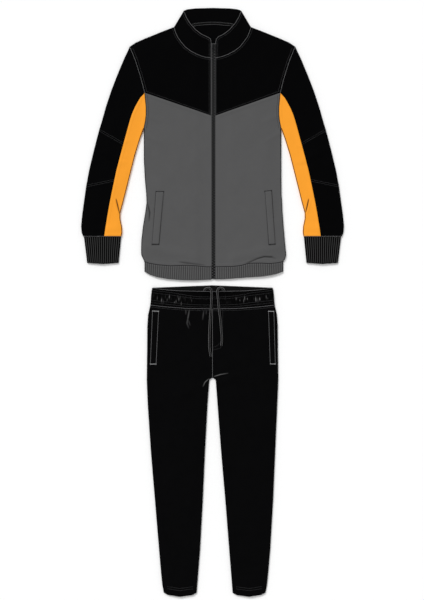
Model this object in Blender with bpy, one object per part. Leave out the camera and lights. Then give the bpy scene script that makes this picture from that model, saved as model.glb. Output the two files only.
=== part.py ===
"""Tracksuit laid flat: a zip jacket above a pair of tapered trousers.

Each cloth piece is a thin wall. Its outer surface is a grid of points on the laid garment, and
its inner surface lies one wall further in. Sizes are in millimetres until a mesh is made.
X runs to the right as seen from above, Y towards the collar and Z up from the surface below.
"""

import math

import bpy
import numpy as np

MM = 0.001

# Cloth
SEAM_GAP = 0.3
WALL = 1.2
COLLAR_WALL = 1.0
WAISTBAND_WALL = 2.0
FOLD_RADIUS = 2.6
MIDDLE = FOLD_RADIUS + SEAM_GAP / 2
LOFT = 0.8
LOFT_REACH = 35.0
CREASE_REACH = 14.0
FRONT, BACK = 1, -1
LEFT, RIGHT = -1, 1

# Ribs and gathers
RIB_HEIGHT = 0.8
CUFF_RIBS = 18
HEM_RIBS = 31
GATHER_HEIGHT = 0.7
GATHERS = 36

# Zip
ZIP_X = 2.6
ZIP_OPENING = 11.6
ZIP_TOP = 725.0
ZIP_BOTTOM = 64.6
TEETH_WIDTH = 4.0
TEETH_Z = (3.6, 6.2)
TAPE_WIDTH = 11.0
TAPE_Z = (3.8, 4.8)
SLIDER_SIZE = (7.6, 10.4, 4.2)
SLIDER_BASE = 3.3
SLIDER_Y = 718.6
PULL_AXIS_Z = SLIDER_BASE + SLIDER_SIZE[2] + 1.0

# Drawcord
CORD_DIAMETER = 5.4
CORD_STEP = 12.0

# Heights of seams and corners above the frame's centre line
COLLAR_TOP_Y = 818.2
NECK_Y = 771.4
SHOULDER_Y = 716.8
SLEEVE_HEAD_Y = 690.0
UNDERARM_Y = 486.0
PANEL_TIP_Y = 582.0
CUFF_SEAM_Y = 185.6
WAIST_TOP_Y = 41.4
WAIST_BOTTOM_Y = -7.0
LEG_END_Y = -812.0
# Elbow seams: y at the sleeve's outer edge and at the coloured panel
UPPER_ELBOW = (483.0, 444.0)
LOWER_ELBOW = (326.0, 342.0)

# Grid columns beside a fold: how far each lies from it
BESIDE_FOLD = (0.7, 2.8)
# Rows closer to the underarm than this stay on the fold
UNDERARM_REACH = 0.5

# Sides of the jacket and trousers as laid. Rows run from the collar to the hem.
# Collar top, neck, shoulder and sleeve edge: x from the centre line, y
SHOULDER_EDGE = (
    (79.8, 818.2),
    (107.8, 771.4),
    (134.5, 761.6),
    (189.7, 739.2),
    (215.2, 728.0),
    (231.7, 716.8),
    (236.9, 705.6),
    (247.5, 683.2),
    (266.3, 638.4),
    (283.6, 593.6),
    (298.5, 548.8),
    (311.1, 504.0),
)
# Sleeve below the underarm: y, outer edge, edge of the coloured panel, inner edge
SLEEVE = (
    (486.0, 316.7, 238.0, 192.6),
    (459.0, 324.0, 245.3, 202.4),
    (414.0, 335.4, 257.6, 216.2),
    (370.0, 345.8, 269.0, 227.4),
    (325.0, 354.2, 278.6, 238.6),
    (280.0, 360.4, 287.8, 250.0),
    (250.0, 364.6, 293.2, 258.2),
    (235.0, 366.2, 295.7, 258.2),
    (213.0, 368.2, 299.3, 253.7),
    (197.0, 366.8, 301.6, 252.6),
    (185.6, 362.8, 303.2, 254.6),
)
# Rib cuff: y, outer edge, inner edge
CUFF = (
    (184.8, 360.2, 256.0),
    (111.0, 351.2, 263.2),
)
# Armhole seam from the shoulder to the underarm: x from the centre line, y
ARMHOLE = (
    (231.7, 716.8),
    (216.0, 678.0),
    (204.1, 641.0),
    (195.4, 610.0),
    (189.6, 587.0),
    (185.8, 547.0),
    (185.8, 525.0),
    (187.8, 508.0),
    (191.6, 489.4),
    (192.3, 486.0),
)
# Coloured panel above the underarm: x from the centre line, y
PANEL_TIP = (
    (193.6, 582.0),
    (202.2, 572.9),
    (210.3, 559.2),
    (218.1, 544.6),
    (225.4, 527.8),
    (231.0, 511.0),
    (238.0, 486.0),
)
# Body below the underarm: y, left side, right side
BODY_SIDES = (
    (486.0, 192.0, 192.0),
    (400.0, 192.3, 192.6),
    (350.0, 189.8, 192.6),
    (302.0, 185.6, 193.2),
    (280.0, 184.8, 194.9),
    (258.0, 187.6, 195.7),
    (213.0, 194.9, 199.1),
    (174.0, 199.4, 202.4),
    (146.0, 200.2, 205.2),
    (133.0, 199.6, 206.4),
    (121.0, 194.0, 203.0),
    (114.6, 190.4, 198.0),
    (86.8, 190.4, 198.0),
)
# Seam above the hem band, and its lower edge, from left to right: x, y
HEM_SEAM = (
    (-190.4, 114.6),
    (-177.0, 109.8),
    (-153.0, 105.6),
    (-117.0, 102.5),
    (-72.0, 104.2),
    (-46.0, 102.6),
    (-17.0, 99.7),
    (54.0, 100.5),
    (79.0, 103.3),
    (104.0, 110.0),
    (138.0, 110.0),
    (162.0, 108.9),
    (184.0, 111.2),
    (198.0, 114.6),
)
BACK_HEM_SEAM = (
    (-190.4, 114.6),
    (-60.0, 103.0),
    (60.0, 103.0),
    (198.0, 114.6),
)
HEM_EDGE = (
    (-190.4, 86.8),
    (-177.0, 78.4),
    (-156.0, 71.1),
    (-125.0, 65.5),
    (-88.0, 62.4),
    (-46.0, 61.9),
    (0.0, 64.1),
    (43.0, 65.5),
    (93.0, 69.7),
    (138.0, 72.5),
    (164.0, 76.2),
    (184.0, 81.2),
    (198.0, 86.8),
)
BACK_HEM_EDGE = (
    (-190.4, 86.8),
    (-156.0, 72.5),
    (-88.0, 64.4),
    (0.0, 66.0),
    (93.0, 71.4),
    (164.0, 78.0),
    (198.0, 86.8),
)
# V seam under the yoke: its end at the armhole, and where both sides meet on the back
YOKE_END = (189.6, 587.0)
YOKE_POINT_Y = 521.5

# Collar: x from the centre line, y
NECK_SEAM = (
    (107.8, 771.4),
    (107.0, 768.4),
    (103.6, 757.0),
    (96.6, 741.7),
    (87.1, 728.6),
    (76.4, 715.7),
    (61.6, 704.4),
    (44.0, 695.2),
    (24.9, 688.2),
)
NECK_SEAM_Y = 684.9
COLLAR_EDGE = (
    (79.8, 818.2),
    (73.1, 799.4),
    (62.2, 781.8),
    (47.0, 764.0),
    (30.5, 752.0),
    (16.0, 745.0),
)
# Corner of the collar at the zip: x beyond the zip opening, y
COLLAR_CORNER = (
    (5.2, 742.0),
    (1.4, 737.4),
    (0.0, 730.5),
)
BACK_NECK_SEAM = (
    (107.8, 771.4),
    (104.6, 772.0),
    (61.6, 779.8),
    (50.0, 783.2),
    (18.2, 786.5),
    (0.0, 787.1),
)
BACK_COLLAR_EDGE = (
    (79.8, 818.2),
    (70.0, 821.5),
    (48.2, 824.0),
    (0.0, 825.4),
)
NECK_TAPE_REACH = 74.0
NECK_TAPE_WIDTH = 9.0

# Trousers: y, outer edge from their own centre line
TROUSER_SIDE = (
    (41.4, 168.4),
    (33.6, 170.4),
    (-7.0, 174.0),
    (-34.0, 180.4),
    (-67.0, 182.6),
    (-118.0, 183.0),
    (-218.0, 184.2),
    (-286.0, 181.4),
    (-420.0, 174.0),
    (-554.0, 165.5),
    (-689.0, 155.9),
    (-756.0, 150.2),
    (-790.0, 146.7),
    (-812.0, 142.6),
)
# Inner leg: y, inner edge from their own centre line
TROUSER_INSEAM = (
    (-211.4, 0.0),
    (-212.4, 4.0),
    (-215.0, 7.4),
    (-220.0, 9.3),
    (-286.0, 14.1),
    (-420.0, 22.8),
    (-554.0, 31.6),
    (-689.0, 40.6),
    (-812.6, 50.4),
)
# Lower edge of a leg: x from their own centre line, y
LEG_EDGE = (
    (142.6, -812.0),
    (131.0, -818.6),
    (97.0, -823.6),
    (62.0, -819.2),
    (50.4, -812.6),
)
# Both legs drift this far to the right between these heights
LEG_DRIFT = 5.9
LEG_DRIFT_Y = (-285.0, -700.0)
# Waistband: x from the centre line, y
WAIST_SEAM = (
    (174.0, -7.0),
    (140.0, -11.2),
    (73.0, -16.5),
    (0.0, -17.6),
)
WAIST_EDGE = (
    (168.4, 41.4),
    (127.0, 36.1),
    (91.0, 33.6),
    (21.0, 32.2),
    (0.0, 31.6),
)
BACK_WAIST_EDGE = (
    (168.4, 41.4),
    (0.0, 48.2),
)

# Pocket welts, by their corners: side, y and x of the upper inner, upper outer, lower outer
# and lower inner corner
JACKET_WELTS = (
    (LEFT, (312.5, -135.2), (312.5, -158.8), (161.0, -170.8), (161.0, -149.5)),
    (RIGHT, (313.6, 144.8), (315.0, 166.0), (161.8, 176.7), (160.2, 157.1)),
)
TROUSER_WELTS = (
    (LEFT, (-22.6, -149.0), (-21.6, -168.6), (-174.4, -175.6), (-174.4, -157.1)),
    (RIGHT, (-22.6, 155.0), (-22.8, 172.6), (-174.4, 177.6), (-173.6, 160.7)),
)
WELT_LIFT = 0.45

# Largest folds: x and y of both ends, half width, height
CREASES = (
    (-196.0, 160.0, -40.0, 122.0, 13.0, 1.6),
    (202.0, 160.0, 60.0, 124.0, 13.0, 1.8),
    (-340.0, 205.0, -262.0, 208.0, 11.0, 1.5),
    (340.0, 205.0, 262.0, 208.0, 11.0, 1.5),
    (-225.0, 520.0, -196.0, 600.0, 11.0, 1.4),
    (225.0, 520.0, 196.0, 600.0, 11.0, 1.4),
    (-300.0, 420.0, -250.0, 395.0, 12.0, 1.3),
    (300.0, 420.0, 250.0, 395.0, 12.0, 1.3),
    (-90.0, -260.0, -14.0, -222.0, 12.0, 1.6),
    (96.0, -196.0, 14.0, -226.0, 12.0, 1.6),
    (-140.0, -500.0, -60.0, -470.0, 20.0, 1.3),
    (140.0, -480.0, 60.0, -455.0, 20.0, 1.3),
    (-130.0, -700.0, -60.0, -735.0, 18.0, 1.3),
    (135.0, -690.0, 66.0, -720.0, 18.0, 1.3),
)

# Drawcord routes, from the waistband edge over the front to the free tip: x, y, z
LEFT_CORD = (
    (-21.4, 36.2, 5.6),
    (-17.0, 39.6, 6.0),
    (-11.5, 40.9, 6.9),
    (-6.0, 38.6, 8.6),
    (-3.0, 32.0, 10.2),
    (-2.6, 15.0, 10.4),
    (-4.2, -14.0, 10.2),
    (-6.6, -43.0, 9.6),
    (-8.5, -78.0, 9.5),
    (-8.9, -120.0, 9.5),
    (-6.6, -142.0, 9.5),
    (-4.6, -152.0, 9.5),
)
RIGHT_CORD = (
    (30.8, 36.2, 5.6),
    (26.6, 39.7, 6.0),
    (21.4, 40.9, 6.9),
    (16.2, 38.4, 8.6),
    (13.6, 31.0, 10.2),
    (15.4, 12.0, 10.4),
    (17.6, -14.0, 10.2),
    (21.4, -43.0, 9.6),
    (24.6, -78.0, 9.5),
    (26.2, -104.0, 9.5),
    (24.6, -122.6, 9.5),
)

COLOURS = {
    "black": (0.010, 0.010, 0.011),
    "grey": (0.092, 0.092, 0.094),
    "orange": (0.91, 0.35, 0.030),
    "rib_black": (0.012, 0.012, 0.013),
    "rib_grey": (0.075, 0.075, 0.077),
    "tape": (0.045, 0.045, 0.046),
    "metal": (0.030, 0.030, 0.032),
    "cord": (0.016, 0.016, 0.017),
}


def smooth(t):
    """0 below 0, 1 above 1, and an even slope between."""
    t = np.clip(t, 0.0, 1.0)
    return t * t * (3 - 2 * t)


def drift(y):
    """How far the trouser legs lie to the right of their centre line."""
    start, end = LEG_DRIFT_Y
    return LEG_DRIFT * smooth((start - np.asarray(y, float)) / (start - end))


def side_line(points, side):
    """A line of the right half, or its mirror image on the left."""
    return np.array(points, float) * (side, 1)


def columns(rows, x_column, side):
    """The line that one column of a section table gives, on one side."""
    return np.array([(row[x_column] * side, row[0]) for row in rows], float)


def leg_line(points):
    """A trouser line moved with the drift of the legs."""
    points = np.array(points, float)
    points[:, 0] += drift(points[:, 1])
    return points


def whole_line(points):
    """A half line from the side to the centre, continued to the other side."""
    right = np.array(points, float)
    left = right * (-1, 1)
    return np.concatenate([left, right[-2::-1]])


def cut(line, start, end, axis=1):
    """The stretch of a line between two values of x (axis 0) or y (axis 1)."""
    values = line[:, axis]
    order = np.argsort(values)
    other = 1 - axis

    def at(value):
        point = np.empty(2)
        point[axis] = value
        point[other] = np.interp(value, values[order], line[order, other])
        return point

    low, high = min(start, end), max(start, end)
    inside = line[(values > low + 1e-6) & (values < high - 1e-6)]
    if len(inside) and (inside[0, axis] - inside[-1, axis]) * (start - end) < 0:
        inside = inside[::-1]
    return np.concatenate([[at(start)], inside, [at(end)]])


def sleeve_line(side):
    """The outer edge from the collar's top to the lower edge of the cuff."""
    return np.concatenate([
        side_line(SHOULDER_EDGE, side),
        columns(SLEEVE, 1, side),
        columns(CUFF, 1, side),
    ])


def inner_sleeve_line(side):
    return np.concatenate([columns(SLEEVE, 3, side), columns(CUFF, 2, side)])


def stripe_line(side):
    """The upper edge of the coloured sleeve panel, from its tip to the cuff."""
    return np.concatenate([side_line(PANEL_TIP, side), columns(SLEEVE, 2, side)[1:]])


def body_line(side):
    return columns(BODY_SIDES, 1 if side == LEFT else 2, side)


def trouser_side(side):
    return leg_line(columns(TROUSER_SIDE, 1, side))


def inseam(side):
    return leg_line(columns(TROUSER_INSEAM, 1, side))


def fold_of(line, outward):
    """A fold line with its plan normals; outward is 1 where the garment ends to its left."""
    steps = np.diff(line, axis=0)
    normals = np.stack([-steps[:, 1], steps[:, 0]], axis=1) * outward
    normals /= np.linalg.norm(normals, axis=1, keepdims=True)
    at_points = np.concatenate([normals[:1], normals[:-1] + normals[1:], normals[-1:]])
    at_points /= np.linalg.norm(at_points, axis=1, keepdims=True)
    return line, at_points


FOLDS = []
for half in (LEFT, RIGHT):
    FOLDS.append(fold_of(sleeve_line(half), half))
    FOLDS.append(fold_of(inner_sleeve_line(half), -half))
    FOLDS.append(fold_of(body_line(half), half))
    FOLDS.append(fold_of(trouser_side(half), half))
    FOLDS.append(fold_of(inseam(half), -half))


def fold_distance(plan):
    """For each point: its distance to the nearest fold, and the outward direction there."""
    nearest = np.full(len(plan), np.inf)
    outward = np.zeros((len(plan), 2))
    for line, normals in FOLDS:
        for start, end, first, last in zip(line[:-1], line[1:], normals[:-1], normals[1:]):
            along = end - start
            t = np.clip((plan - start) @ along / (along @ along), 0, 1)
            away = np.linalg.norm(plan - start - t[:, None] * along, axis=1)
            closer = away < nearest
            nearest[closer] = away[closer]
            blend = first + t[closer, None] * (last - first)
            outward[closer] = blend / np.linalg.norm(blend, axis=1, keepdims=True)
    return np.where(nearest < 1e-6, 0, nearest), outward


def swell(plan):
    """How far the front rises above the height of its folded edges."""
    away, _ = fold_distance(plan)
    height = LOFT * smooth(away / LOFT_REACH)
    rise = np.zeros(len(plan))
    for x0, y0, x1, y1, half_width, top in CREASES:
        start, along = np.array((x0, y0)), np.array((x1 - x0, y1 - y0))
        t = (plan - start) @ along / (along @ along)
        across = plan - start - np.clip(t, 0, 1)[:, None] * along
        rise += top * np.exp(-((np.linalg.norm(across, axis=1) / half_width) ** 2))
    by_zip = (plan[:, 1] > 0) & (abs(plan[:, 0] - ZIP_X) < 60)
    calm = np.where(by_zip, smooth((abs(plan[:, 0] - ZIP_X) - 24) / 30), 1)
    return height + rise * smooth(away / CREASE_REACH) * calm


def surface(grid, face):
    """Points and normals of the garment's outer surface over a plan grid."""
    plan = grid.reshape(-1, 2)
    away, outward = fold_distance(plan)
    turned = np.clip(FOLD_RADIUS - away, 0, None) / FOLD_RADIUS
    level = np.sqrt(1 - turned**2)
    height = face * (SEAM_GAP / 2 + FOLD_RADIUS * level)
    slope = np.zeros((len(plan), 2))
    if face == FRONT:
        height = height + swell(plan)
        step = 0.5
        for axis in (0, 1):
            shift = np.eye(2)[axis] * step
            slope[:, axis] = (swell(plan + shift) - swell(plan - shift)) / (2 * step)
    normals = np.concatenate(
        [outward * turned[:, None] - slope * level[:, None], face * level[:, None]], axis=1
    )
    normals /= np.linalg.norm(normals, axis=1, keepdims=True)
    points = np.concatenate([plan, (MIDDLE + height)[:, None]], axis=1)
    shape = grid.shape[:2] + (3,)
    return points.reshape(shape), normals.reshape(shape)


def length_of(line):
    return np.linalg.norm(np.diff(line, axis=0), axis=1).sum()


def shares(line, levels=None):
    """How far along a line each point lies, from 0 to 1: by length, or by its y between levels."""
    if levels:
        at = (levels[0] - line[:, 1]) / (levels[0] - levels[1])
        at[[0, -1]] = 0, 1
        return at
    along = np.concatenate([[0], np.cumsum(np.linalg.norm(np.diff(line, axis=0), axis=1))])
    return along / along[-1]


def along_line(line, at, levels=None):
    knots = shares(line, levels)
    return np.stack([np.interp(at, knots, line[:, k]) for k in (0, 1)], axis=-1)


def stations(lines, step, fold_start=False, fold_end=False, levels=None):
    """Where a grid has its rows: at every point of both lines, close at folds, then in steps."""
    size = np.mean([length_of(line) for line in lines])
    at = np.concatenate([shares(line, levels) for line in lines])
    near = np.array(BESIDE_FOLD) / size
    if fold_start:
        at = np.concatenate([at, near])
    if fold_end:
        at = np.concatenate([at, 1 - near])
    at = np.unique(np.round(at, 6))
    at = at[np.concatenate([[True], np.diff(at) > 2e-4])]
    filled = [0.0]
    for value in at[1:]:
        parts = max(1, math.ceil((value - filled[-1]) * size / step - 0.35))
        filled += list(np.linspace(filled[-1], value, parts + 1)[1:])
    return np.array(filled)


def patch(left, right, top, bottom, across, down, levels=None):
    """A plan grid that fills four edge lines; rows run down and columns across."""
    v, u = down[:, None, None], across[None, :, None]
    rows = [along_line(line, down, levels)[:, None] for line in (left, right)]
    sides = (1 - u) * rows[0] + u * rows[1]
    ends = (1 - v) * along_line(top, across)[None] + v * along_line(bottom, across)[None]
    corners = (1 - v) * ((1 - u) * top[0] + u * top[-1]) + v * (
        (1 - u) * bottom[0] + u * bottom[-1]
    )
    return sides + ends - corners


def part_seams(grid, edges):
    """Draws the named edges of a plan grid back by half a seam gap."""
    grid = grid.copy()
    turns = {"top": (0, 1), "bottom": (-1, -2)}
    for edge in edges:
        rows = grid if edge in turns else grid.transpose(1, 0, 2)
        first, second = turns.get(edge, (0, 1) if edge == "left" else (-1, -2))
        run = np.gradient(rows[first], axis=0)
        run /= np.linalg.norm(run, axis=1, keepdims=True)
        back = rows[second] - rows[first]
        back /= np.linalg.norm(back, axis=1, keepdims=True)
        sine = np.abs(run[:, 0] * back[:, 1] - run[:, 1] * back[:, 0])
        rows[first] += back * (SEAM_GAP / 2 / np.clip(sine, 0.35, 1))[:, None]
    return grid


def material(name, colour, roughness, metallic=0.0):
    made = bpy.data.materials.new(name)
    made.use_nodes = True
    shader = made.node_tree.nodes["Principled BSDF"]
    shader.inputs["Base Color"].default_value = (*COLOURS[colour], 1)
    shader.inputs["Roughness"].default_value = roughness
    shader.inputs["Metallic"].default_value = metallic
    made.diffuse_color = (*COLOURS[colour], 1)
    return made


def add_mesh(name, points, faces, finish):
    """An object from points in millimetres, its faces turned outwards."""
    points = np.asarray(points, float)
    triangles = [(face[0], face[k], face[k + 1]) for face in faces for k in range(1, len(face) - 1)]
    corners = points[np.array(triangles)]
    if np.linalg.det(corners).sum() < 0:
        faces = [face[::-1] for face in faces]
    mesh = bpy.data.meshes.new(name)
    mesh.from_pydata((points * MM).tolist(), [], [tuple(int(i) for i in f) for f in faces])
    mesh.materials.append(finish)
    mesh.shade_smooth()
    mesh.set_sharp_from_angle(angle=math.radians(50))
    made = bpy.data.objects.new(name, mesh)
    bpy.context.scene.collection.objects.link(made)
    return made


def wall_between(name, outer, inner, finish, closed=False):
    """A closed wall between two grids of the same shape; closed joins its first and last column."""
    rows, cols = outer.shape[:2]
    index = np.arange(rows * cols).reshape(rows, cols)
    if closed:
        index = np.concatenate([index, index[:, :1]], axis=1)
    back = index + rows * cols
    faces = []

    def strip(a, b):
        faces.extend(zip(a[:-1], a[1:], b[1:], b[:-1]))

    for row in range(rows - 1):
        strip(index[row], index[row + 1])
        strip(back[row + 1], back[row])
    strip(back[0], index[0])
    strip(index[-1], back[-1])
    if not closed:
        strip(index[:, 0], back[:, 0])
        strip(back[:, -1], index[:, -1])
    points = np.concatenate([outer.reshape(-1, 3), inner.reshape(-1, 3)])
    return add_mesh(name, points, faces, finish)


def cloth(name, skin, finish, wall=WALL, depth=0.0, relief=None, closed=False):
    """A cloth wall under an outer surface, which relief raises and depth sinks."""
    points, normals = skin
    raised = 0 if relief is None else relief
    outer = points + normals * (np.asarray(raised)[..., None] - depth)
    inner = points - normals * (depth + wall)
    return wall_between(name, outer, inner, finish, closed)


def joined(*skins):
    """Surfaces side by side, each given as a grid and its face, made one."""
    made = [surface(grid, face) for grid, face in skins]
    return tuple(np.concatenate([skin[k] for skin in made], axis=1) for k in (0, 1))


def zip_edge(side):
    return ZIP_X + side * ZIP_OPENING / 2


def yoke_seam(side):
    """The V seam from the armhole to the edge of the zip."""
    end = np.array(YOKE_END) * (side, 1)
    centre = np.array((ZIP_X, YOKE_POINT_Y))
    share = (zip_edge(side) - end[0]) / (centre[0] - end[0])
    return np.array([end, end + share * (centre - end)])


def neck_seam(side):
    end = (zip_edge(side), NECK_SEAM_Y)
    return np.concatenate([side_line(NECK_SEAM, side), [end]])


def collar_edge(side):
    corner = [(zip_edge(side) + side * x, y) for x, y in COLLAR_CORNER]
    return np.concatenate([side_line(COLLAR_EDGE, side), corner])


def front_yoke(side, name, finish):
    shoulder = cut(sleeve_line(side), NECK_Y, SHOULDER_Y)[::-1]
    arm = cut(side_line(ARMHOLE, side), SHOULDER_Y, YOKE_END[1])
    seam = yoke_seam(side)
    zip_side = np.array([(zip_edge(side), NECK_SEAM_Y), seam[1]])
    inner = np.concatenate([neck_seam(side)[:-1], zip_side])
    across = stations([shoulder, seam], 36)
    down = stations([arm, inner], 34, fold_start=True)
    grid = patch(arm, inner, shoulder, seam, across, down)
    grid = part_seams(grid, ("left", "right", "bottom"))
    cloth(name, surface(grid, FRONT), finish)


def front_body(side, name, finish):
    seam = yoke_seam(side)
    arm = cut(side_line(ARMHOLE, side), YOKE_END[1], UNDERARM_Y)
    flank = np.concatenate([arm, body_line(side)[1:-1]])
    hem = cut(np.array(HEM_SEAM), body_line(side)[-1, 0], zip_edge(side), axis=0)
    zip_side = np.array([seam[1], hem[-1]])
    across = stations([seam, hem], 34, fold_start=True)
    down = stations([flank, zip_side], 34)
    grid = patch(flank, zip_side, seam, hem, across, down)
    grid = part_seams(grid, ("top", "bottom", "right"))
    rows = grid[:, 0, 1] > UNDERARM_Y + UNDERARM_REACH
    parted = part_seams(grid, ("left",))
    grid[rows, 0] = parted[rows, 0]
    cloth(name, surface(grid, FRONT), finish)


def back_yoke(finish):
    shoulder = cut(sleeve_line(RIGHT), NECK_Y - 2 * SEAM_GAP, SHOULDER_Y)
    neck = np.array(BACK_NECK_SEAM, float)[1:]
    neck[0, 1] -= 2 * SEAM_GAP
    half = np.concatenate([shoulder[::-1], neck])
    top = whole_line(half)
    arms = [cut(side_line(ARMHOLE, side), SHOULDER_Y, YOKE_END[1]) for side in (LEFT, RIGHT)]
    bottom = np.array([yoke_seam(LEFT)[0], (ZIP_X, YOKE_POINT_Y), yoke_seam(RIGHT)[0]])
    across = stations([top, bottom], 60)
    down = stations([arms[0]], 60, fold_start=True)
    grid = patch(arms[0], arms[1], top, bottom, across, down)
    grid = part_seams(grid, ("left", "right", "bottom"))
    by_neck = np.abs(grid[0, :, 0]) < BACK_NECK_SEAM[0][0]
    parted = part_seams(grid, ("top",))
    grid[0, by_neck] = parted[0, by_neck]
    cloth("jacket_back_yoke", surface(grid, BACK), finish)


def back_body(finish):
    top = np.array([yoke_seam(LEFT)[0], (ZIP_X, YOKE_POINT_Y), yoke_seam(RIGHT)[0]])
    flanks = []
    for side in (LEFT, RIGHT):
        arm = cut(side_line(ARMHOLE, side), YOKE_END[1], UNDERARM_Y)
        flanks.append(np.concatenate([arm, body_line(side)[1:-1]]))
    hem = np.array(BACK_HEM_SEAM)
    levels = YOKE_END[1], hem[0, 1]
    across = stations([top, hem], 110, fold_start=True, fold_end=True)
    down = stations(flanks, 80, levels=levels)
    grid = patch(flanks[0], flanks[1], top, hem, across, down, levels)
    grid = part_seams(grid, ("top", "bottom"))
    rows = grid[:, 0, 1] > UNDERARM_Y + UNDERARM_REACH
    parted = part_seams(grid, ("left", "right"))
    grid[rows] = parted[rows]
    cloth("jacket_back_body", surface(grid, BACK), finish)


def sleeve_piece(name, outer, stripe, top, bottom, finish, edges, fold_top=False):
    """One black length of a sleeve, from the coloured panel over the fold to the back."""
    down = stations([outer, stripe], 38, fold_start=fold_top)
    grids = {}
    for face, step in ((FRONT, 34), (BACK, 80)):
        across = stations([top, bottom], step, fold_start=True)
        grid = patch(outer, stripe, top, bottom, across, down)
        grids[face] = part_seams(grid, edges)
    cloth(name, joined((grids[FRONT][:, ::-1], FRONT), (grids[BACK], BACK)), finish)


def black_sleeve(side, word, finish):
    """The three black lengths of a sleeve, parted by the two elbow seams."""
    edge, stripe = sleeve_line(side), stripe_line(side)
    arm = cut(side_line(ARMHOLE, side), SHOULDER_Y, YOKE_END[1])
    head = cut(edge, SLEEVE_HEAD_Y, SHOULDER_Y)
    inner = np.concatenate([arm, cut(stripe, PANEL_TIP_Y, UPPER_ELBOW[1])[1:]])
    lengths = (
        ("upper", (SLEEVE_HEAD_Y, PANEL_TIP_Y), UPPER_ELBOW),
        ("elbow", UPPER_ELBOW, LOWER_ELBOW),
        ("forearm", LOWER_ELBOW, (CUFF_SEAM_Y, CUFF_SEAM_Y)),
    )
    for place, start, end in lengths:
        outer = cut(edge, start[0], end[0])
        bottom = np.array([outer[-1], cut(stripe, start[1], end[1])[-1]])
        if place == "upper":
            sides, top, edges = (outer, inner), head, ("right", "bottom")
        else:
            sides = outer, cut(stripe, start[1], end[1])
            top, edges = np.array([sides[0][0], sides[1][0]]), ("right", "top", "bottom")
        name = f"sleeve_{place}_{word}"
        sleeve_piece(name, *sides, top, bottom, finish, edges, fold_top=place == "upper")


def coloured_panel(side, word, finish):
    """The under-sleeve panel, round the inner fold from the front to the back."""
    stripe = stripe_line(side)
    arm = cut(side_line(ARMHOLE, side), YOKE_END[1], UNDERARM_Y)
    inner = np.concatenate([arm, columns(SLEEVE, 3, side)[1:]])
    top = np.array([inner[0], stripe[0]])
    bottom = np.array([inner[-1], stripe[-1]])
    levels = YOKE_END[1], SLEEVE[-1][0]
    down = stations([inner, stripe], 44, levels=levels)
    grids = {}
    for face, step in ((FRONT, 26), (BACK, 50)):
        across = stations([bottom], step, fold_start=True)
        grid = patch(inner, stripe, top, bottom, across, down, levels)
        grid = part_seams(grid, ("right", "top", "bottom"))
        rows = grid[:, 0, 1] > UNDERARM_Y + UNDERARM_REACH
        parted = part_seams(grid, ("left",))
        grid[rows, 0] = parted[rows, 0]
        grids[face] = grid
    cloth(f"sleeve_under_{word}", joined((grids[FRONT][:, ::-1], FRONT), (grids[BACK], BACK)), finish)


def rib_stations(left, right, ribs):
    """Columns at the crest and foot of each rib, and close to both folds."""
    size = (length_of(left) + length_of(right)) / 2
    near = np.array((0.0, *BESIDE_FOLD)) / size
    body = np.linspace(near[-1], 1 - near[-1], 2 * ribs + 1)
    return np.concatenate([near[:-1], body, 1 - near[-2::-1]])


def rib_relief(at, first, ribs, height):
    """Height of each column: 0 in the grooves between ribs and full at their crests."""
    relief = np.zeros(len(at))
    relief[first + 1 : first + 2 * ribs : 2] = height
    return relief


def cuff(side, word, finish):
    outer, inner = columns(CUFF, 1, side), columns(CUFF, 2, side)
    top = np.array([outer[0], inner[0]])
    middle = (outer[-1] + inner[-1]) / 2 - (0, 3.2)
    bottom = np.array([outer[-1], middle, inner[-1]])
    down = np.array((0.0, 1.0))
    across = rib_stations(top, bottom, CUFF_RIBS)
    relief = rib_relief(across, 2, CUFF_RIBS, RIB_HEIGHT)
    front = part_seams(patch(outer, inner, top, bottom, across, down), ("top",))
    coarse = stations([top], 45, fold_start=True, fold_end=True)
    back = part_seams(patch(outer, inner, top, bottom, coarse, down), ("top",))
    whole = joined((front, FRONT), (back[:, ::-1], BACK))
    raised = np.zeros(whole[0].shape[:2])
    raised[:, : len(across)] = relief
    cloth(f"cuff_{word}", whole, finish, relief=raised, closed=True)


def hem_band(finish):
    """One rib strip from the zip round the back to the zip."""
    down = np.array((0.0, 1.0))
    seam, edge = np.array(HEM_SEAM), np.array(HEM_EDGE)
    skins, relief = [], []
    sides = {}
    for side in (LEFT, RIGHT):
        fold = body_line(side)[-2:]
        top = cut(seam, fold[0, 0], zip_edge(side), axis=0)
        bottom = cut(edge, fold[0, 0], zip_edge(side), axis=0)
        edge_column, first_rib = np.array(BESIDE_FOLD) / length_of(top)
        ribs = np.linspace(first_rib, 1, 2 * HEM_RIBS + 1)
        across = np.concatenate([[0, edge_column], ribs])
        grid = patch(fold, np.array([top[-1], bottom[-1]]), top, bottom, across, down)
        sides[side] = part_seams(grid, ("top",))
        relief.append(rib_relief(across, 2, HEM_RIBS, RIB_HEIGHT))
    folds = [body_line(side)[-2:] for side in (LEFT, RIGHT)]
    seam, edge = np.array(BACK_HEM_SEAM), np.array(BACK_HEM_EDGE)
    across = stations([seam, edge], 90, fold_start=True, fold_end=True)
    back = part_seams(patch(folds[0], folds[1], seam, edge, across, down), ("top",))
    whole = joined((sides[LEFT][:, ::-1], FRONT), (back, BACK), (sides[RIGHT], FRONT))
    raised = np.concatenate([relief[0][::-1], np.zeros(len(across)), relief[1]])
    cloth("hem_band", whole, finish, relief=np.tile(raised, (len(down), 1)))


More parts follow.
